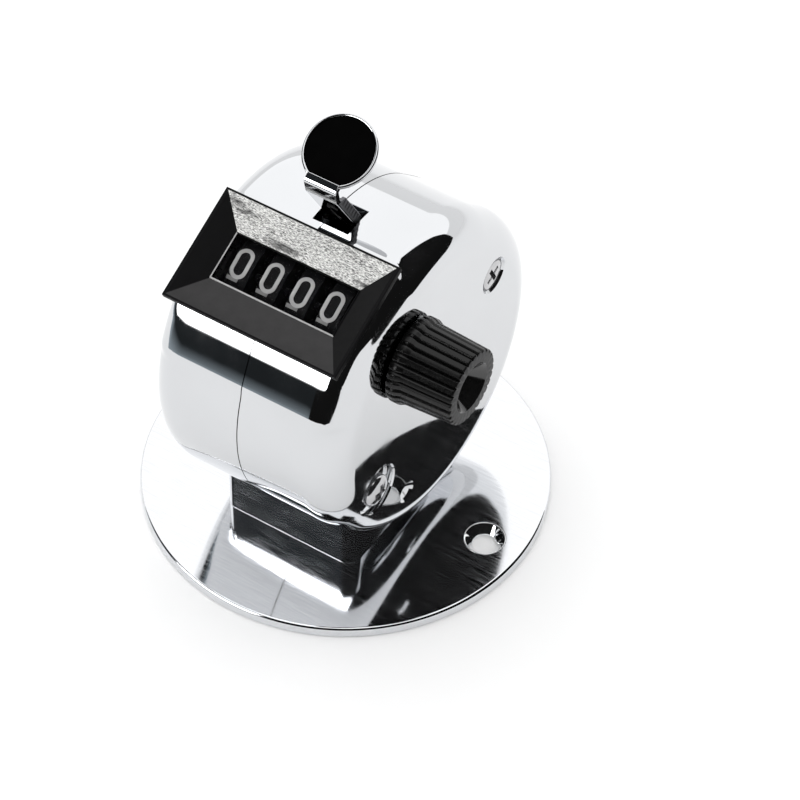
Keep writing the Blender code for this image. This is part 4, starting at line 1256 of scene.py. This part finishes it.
def make_studio():
    world = bpy.data.worlds.new("studio")
    world.use_nodes = True
    world.node_tree.nodes["Background"].inputs["Color"].default_value = (1, 1, 1, 1)
    world.node_tree.nodes["Background"].inputs["Strength"].default_value = 1.0
    bpy.context.scene.world = world
    bpy.context.scene.view_settings.view_transform = "Standard"

    white = (0.96, 0.96, 0.96, 1)
    paper = Nodes("paper", Base_Color=white, Roughness=0.9, Specular_IOR_Level=0.1)
    bm = bmesh.new()
    bmesh.ops.create_grid(bm, x_segments=8, y_segments=8, size=FLOOR_HALF_SIZE)
    floor = placed("floor", mesh_from("floor", bm, paper.material))

    name = "dark_board_left"
    glow = glow_material(name, (0.8, 0.92, 1.0), 0.5, ((30, 4, 0.022),))
    wall_patch(name, BOARD_RADIUS, -168, ((BOARD_FOOT, -104), (BOARD_TOP, -104)), glow)
    name = "dark_board_right"
    ends = (
        (BOARD_FOOT, 30), (20, 44), (50, 54), (100, 59.5), (150, 61.5), (BOARD_TOP, 61.5)
    )
    wall_patch(name, BOARD_RADIUS, -104, ends, glow_material(name, (1, 1, 1), 0.008))
    name = "front_softbox"
    glow = glow_material(name, (1, 1, 1), 7.0, ((50, 64, 0.05), (166, 154, 0.05)))
    wall_patch(name, SOFTBOX_RADIUS, -142, ((50, -98), (166, -98)), glow)

    name = "ceiling_board"
    bm = bmesh.new()
    bmesh.ops.create_grid(bm, x_segments=1, y_segments=1, size=CEILING_HALF_SIZE)
    board = reflected_only(name, bm, glow_material(name, (1, 1, 1), 1.4))
    board.location = CEILING_PLACE

    light = bpy.data.lights.new("ceiling", "AREA")
    light.shape = "SQUARE"
    light.size = 0.6
    light.energy = 1.3
    lamp = placed("ceiling", light)
    lamp.location = (-0.1, 0.15, 0.7)
    lamp.rotation_euler = Vector((-0.1, 0.15, 0.7)).to_track_quat("Z", "Y").to_euler()
    lamp.visible_glossy = False


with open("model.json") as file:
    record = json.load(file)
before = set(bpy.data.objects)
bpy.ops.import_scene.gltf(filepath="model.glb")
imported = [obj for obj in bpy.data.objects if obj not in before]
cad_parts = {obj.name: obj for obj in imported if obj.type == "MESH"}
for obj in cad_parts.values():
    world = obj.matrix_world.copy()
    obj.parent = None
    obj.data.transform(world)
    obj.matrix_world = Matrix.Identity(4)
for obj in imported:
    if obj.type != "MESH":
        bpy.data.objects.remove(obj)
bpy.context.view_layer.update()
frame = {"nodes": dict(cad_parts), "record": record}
make_camera()
make_studio()

chrome = chrome_material("chrome")
plastic = plastic_material("black_plastic", (0.0035, 0.0035, 0.004), 0.3, 0.45, 3000, 0.12, 0.08)
knob_black = plastic_material("knob_plastic", (0.003, 0.003, 0.003), 0.2, 0.3, 1500, 0.05, 0.3)
glossy_black = plastic_material("knob_hollow", (0.003, 0.003, 0.003), 0.1, 0.16, 1500, 0.03, 0.9)
# Lighter, matte grey copy of the knob's black for its end face: painted light.
knob_end_painted_light = plastic_material("black_plastic_end_painted_light", (0.03, 0.03, 0.031), 0.45, 0.6, 2600, 0.3, 0.3)
# Lighter grey copy of the black plastic for the bezel's lower slope: painted light.
slope = plastic_material("black_plastic_slope_painted_light", (0.022, 0.021, 0.022), 0.4, 0.55, 3600, 0.2, 0.25)
enamel = plastic_material("black_enamel", (0.002, 0.002, 0.002), 0.3, 0.4, 900, 0.04, 0.0)
drum_black = plastic_material("black_drum", (0.004, 0.004, 0.005), 0.35, 0.5, 2500, 0.1, 0.08)
# Light grey for the bezel lip's left and bottom edges: a painted highlight.
edge_painted_highlight = plastic_material("painted_edge_highlight", (0.42, 0.42, 0.42), 0.3, 0.5, 4000, 0.2)
ink = plastic_material("white_print", (0.42, 0.42, 0.42), 0.45, 0.65, 5000, 0.3, 0.3)
# Grey for the bar below each figure.
foot_bar_grey = plastic_material("grey_foot_bar", (0.22, 0.22, 0.22), 0.45, 0.65, 5000, 0.3, 0.3)
dark_steel = steel_material("pressed_steel", (0.16, 0.16, 0.17), 0.25, 0.45)
bright = chrome_material("washer_plating", (0.86, 0.87, 0.88))
painted_highlight_streaks = painted_streak_highlight_material()
steel = steel_material("zinc_steel", (0.62, 0.62, 0.63), 0.22, 0.42)
nickel = steel_material("screw_steel", (0.55, 0.55, 0.56), 0.08, 0.2)
nylon = plastic_material("white_nylon", (0.8, 0.79, 0.76), 0.4, 0.55, 1800, 0.15)
clear = clear_material()

build_shells(chrome)
build_base(disc_material(), bright)
build_bezel(plastic, painted_highlight_streaks, slope, edge_painted_highlight)
build_lever(chrome, dark_steel)
build_pad_face(enamel)
build_screws(nickel, bright, dark_steel)
build_knob(knob_black, knob_end_painted_light, glossy_black)
for place, label in enumerate(("units", "tens", "hundreds", "thousands")):
    build_figures(place, label, ink, foot_bar_grey)

slot_materials = {
    "chrome": chrome, "zinc_steel": steel, "screw_steel": nickel, "black_plastic": plastic,
    "black_enamel": enamel, "white_nylon": nylon, "clear_plastic": clear,
}
for part in frame["record"]["subparts"]:
    node = frame["nodes"][part["node"]]
    node.data.materials.clear()
    drum = part["node"].startswith("wheel_") and part["node"] != "wheel_shaft"
    node.data.materials.append(drum_black if drum else slot_materials[part["material_slot"]])
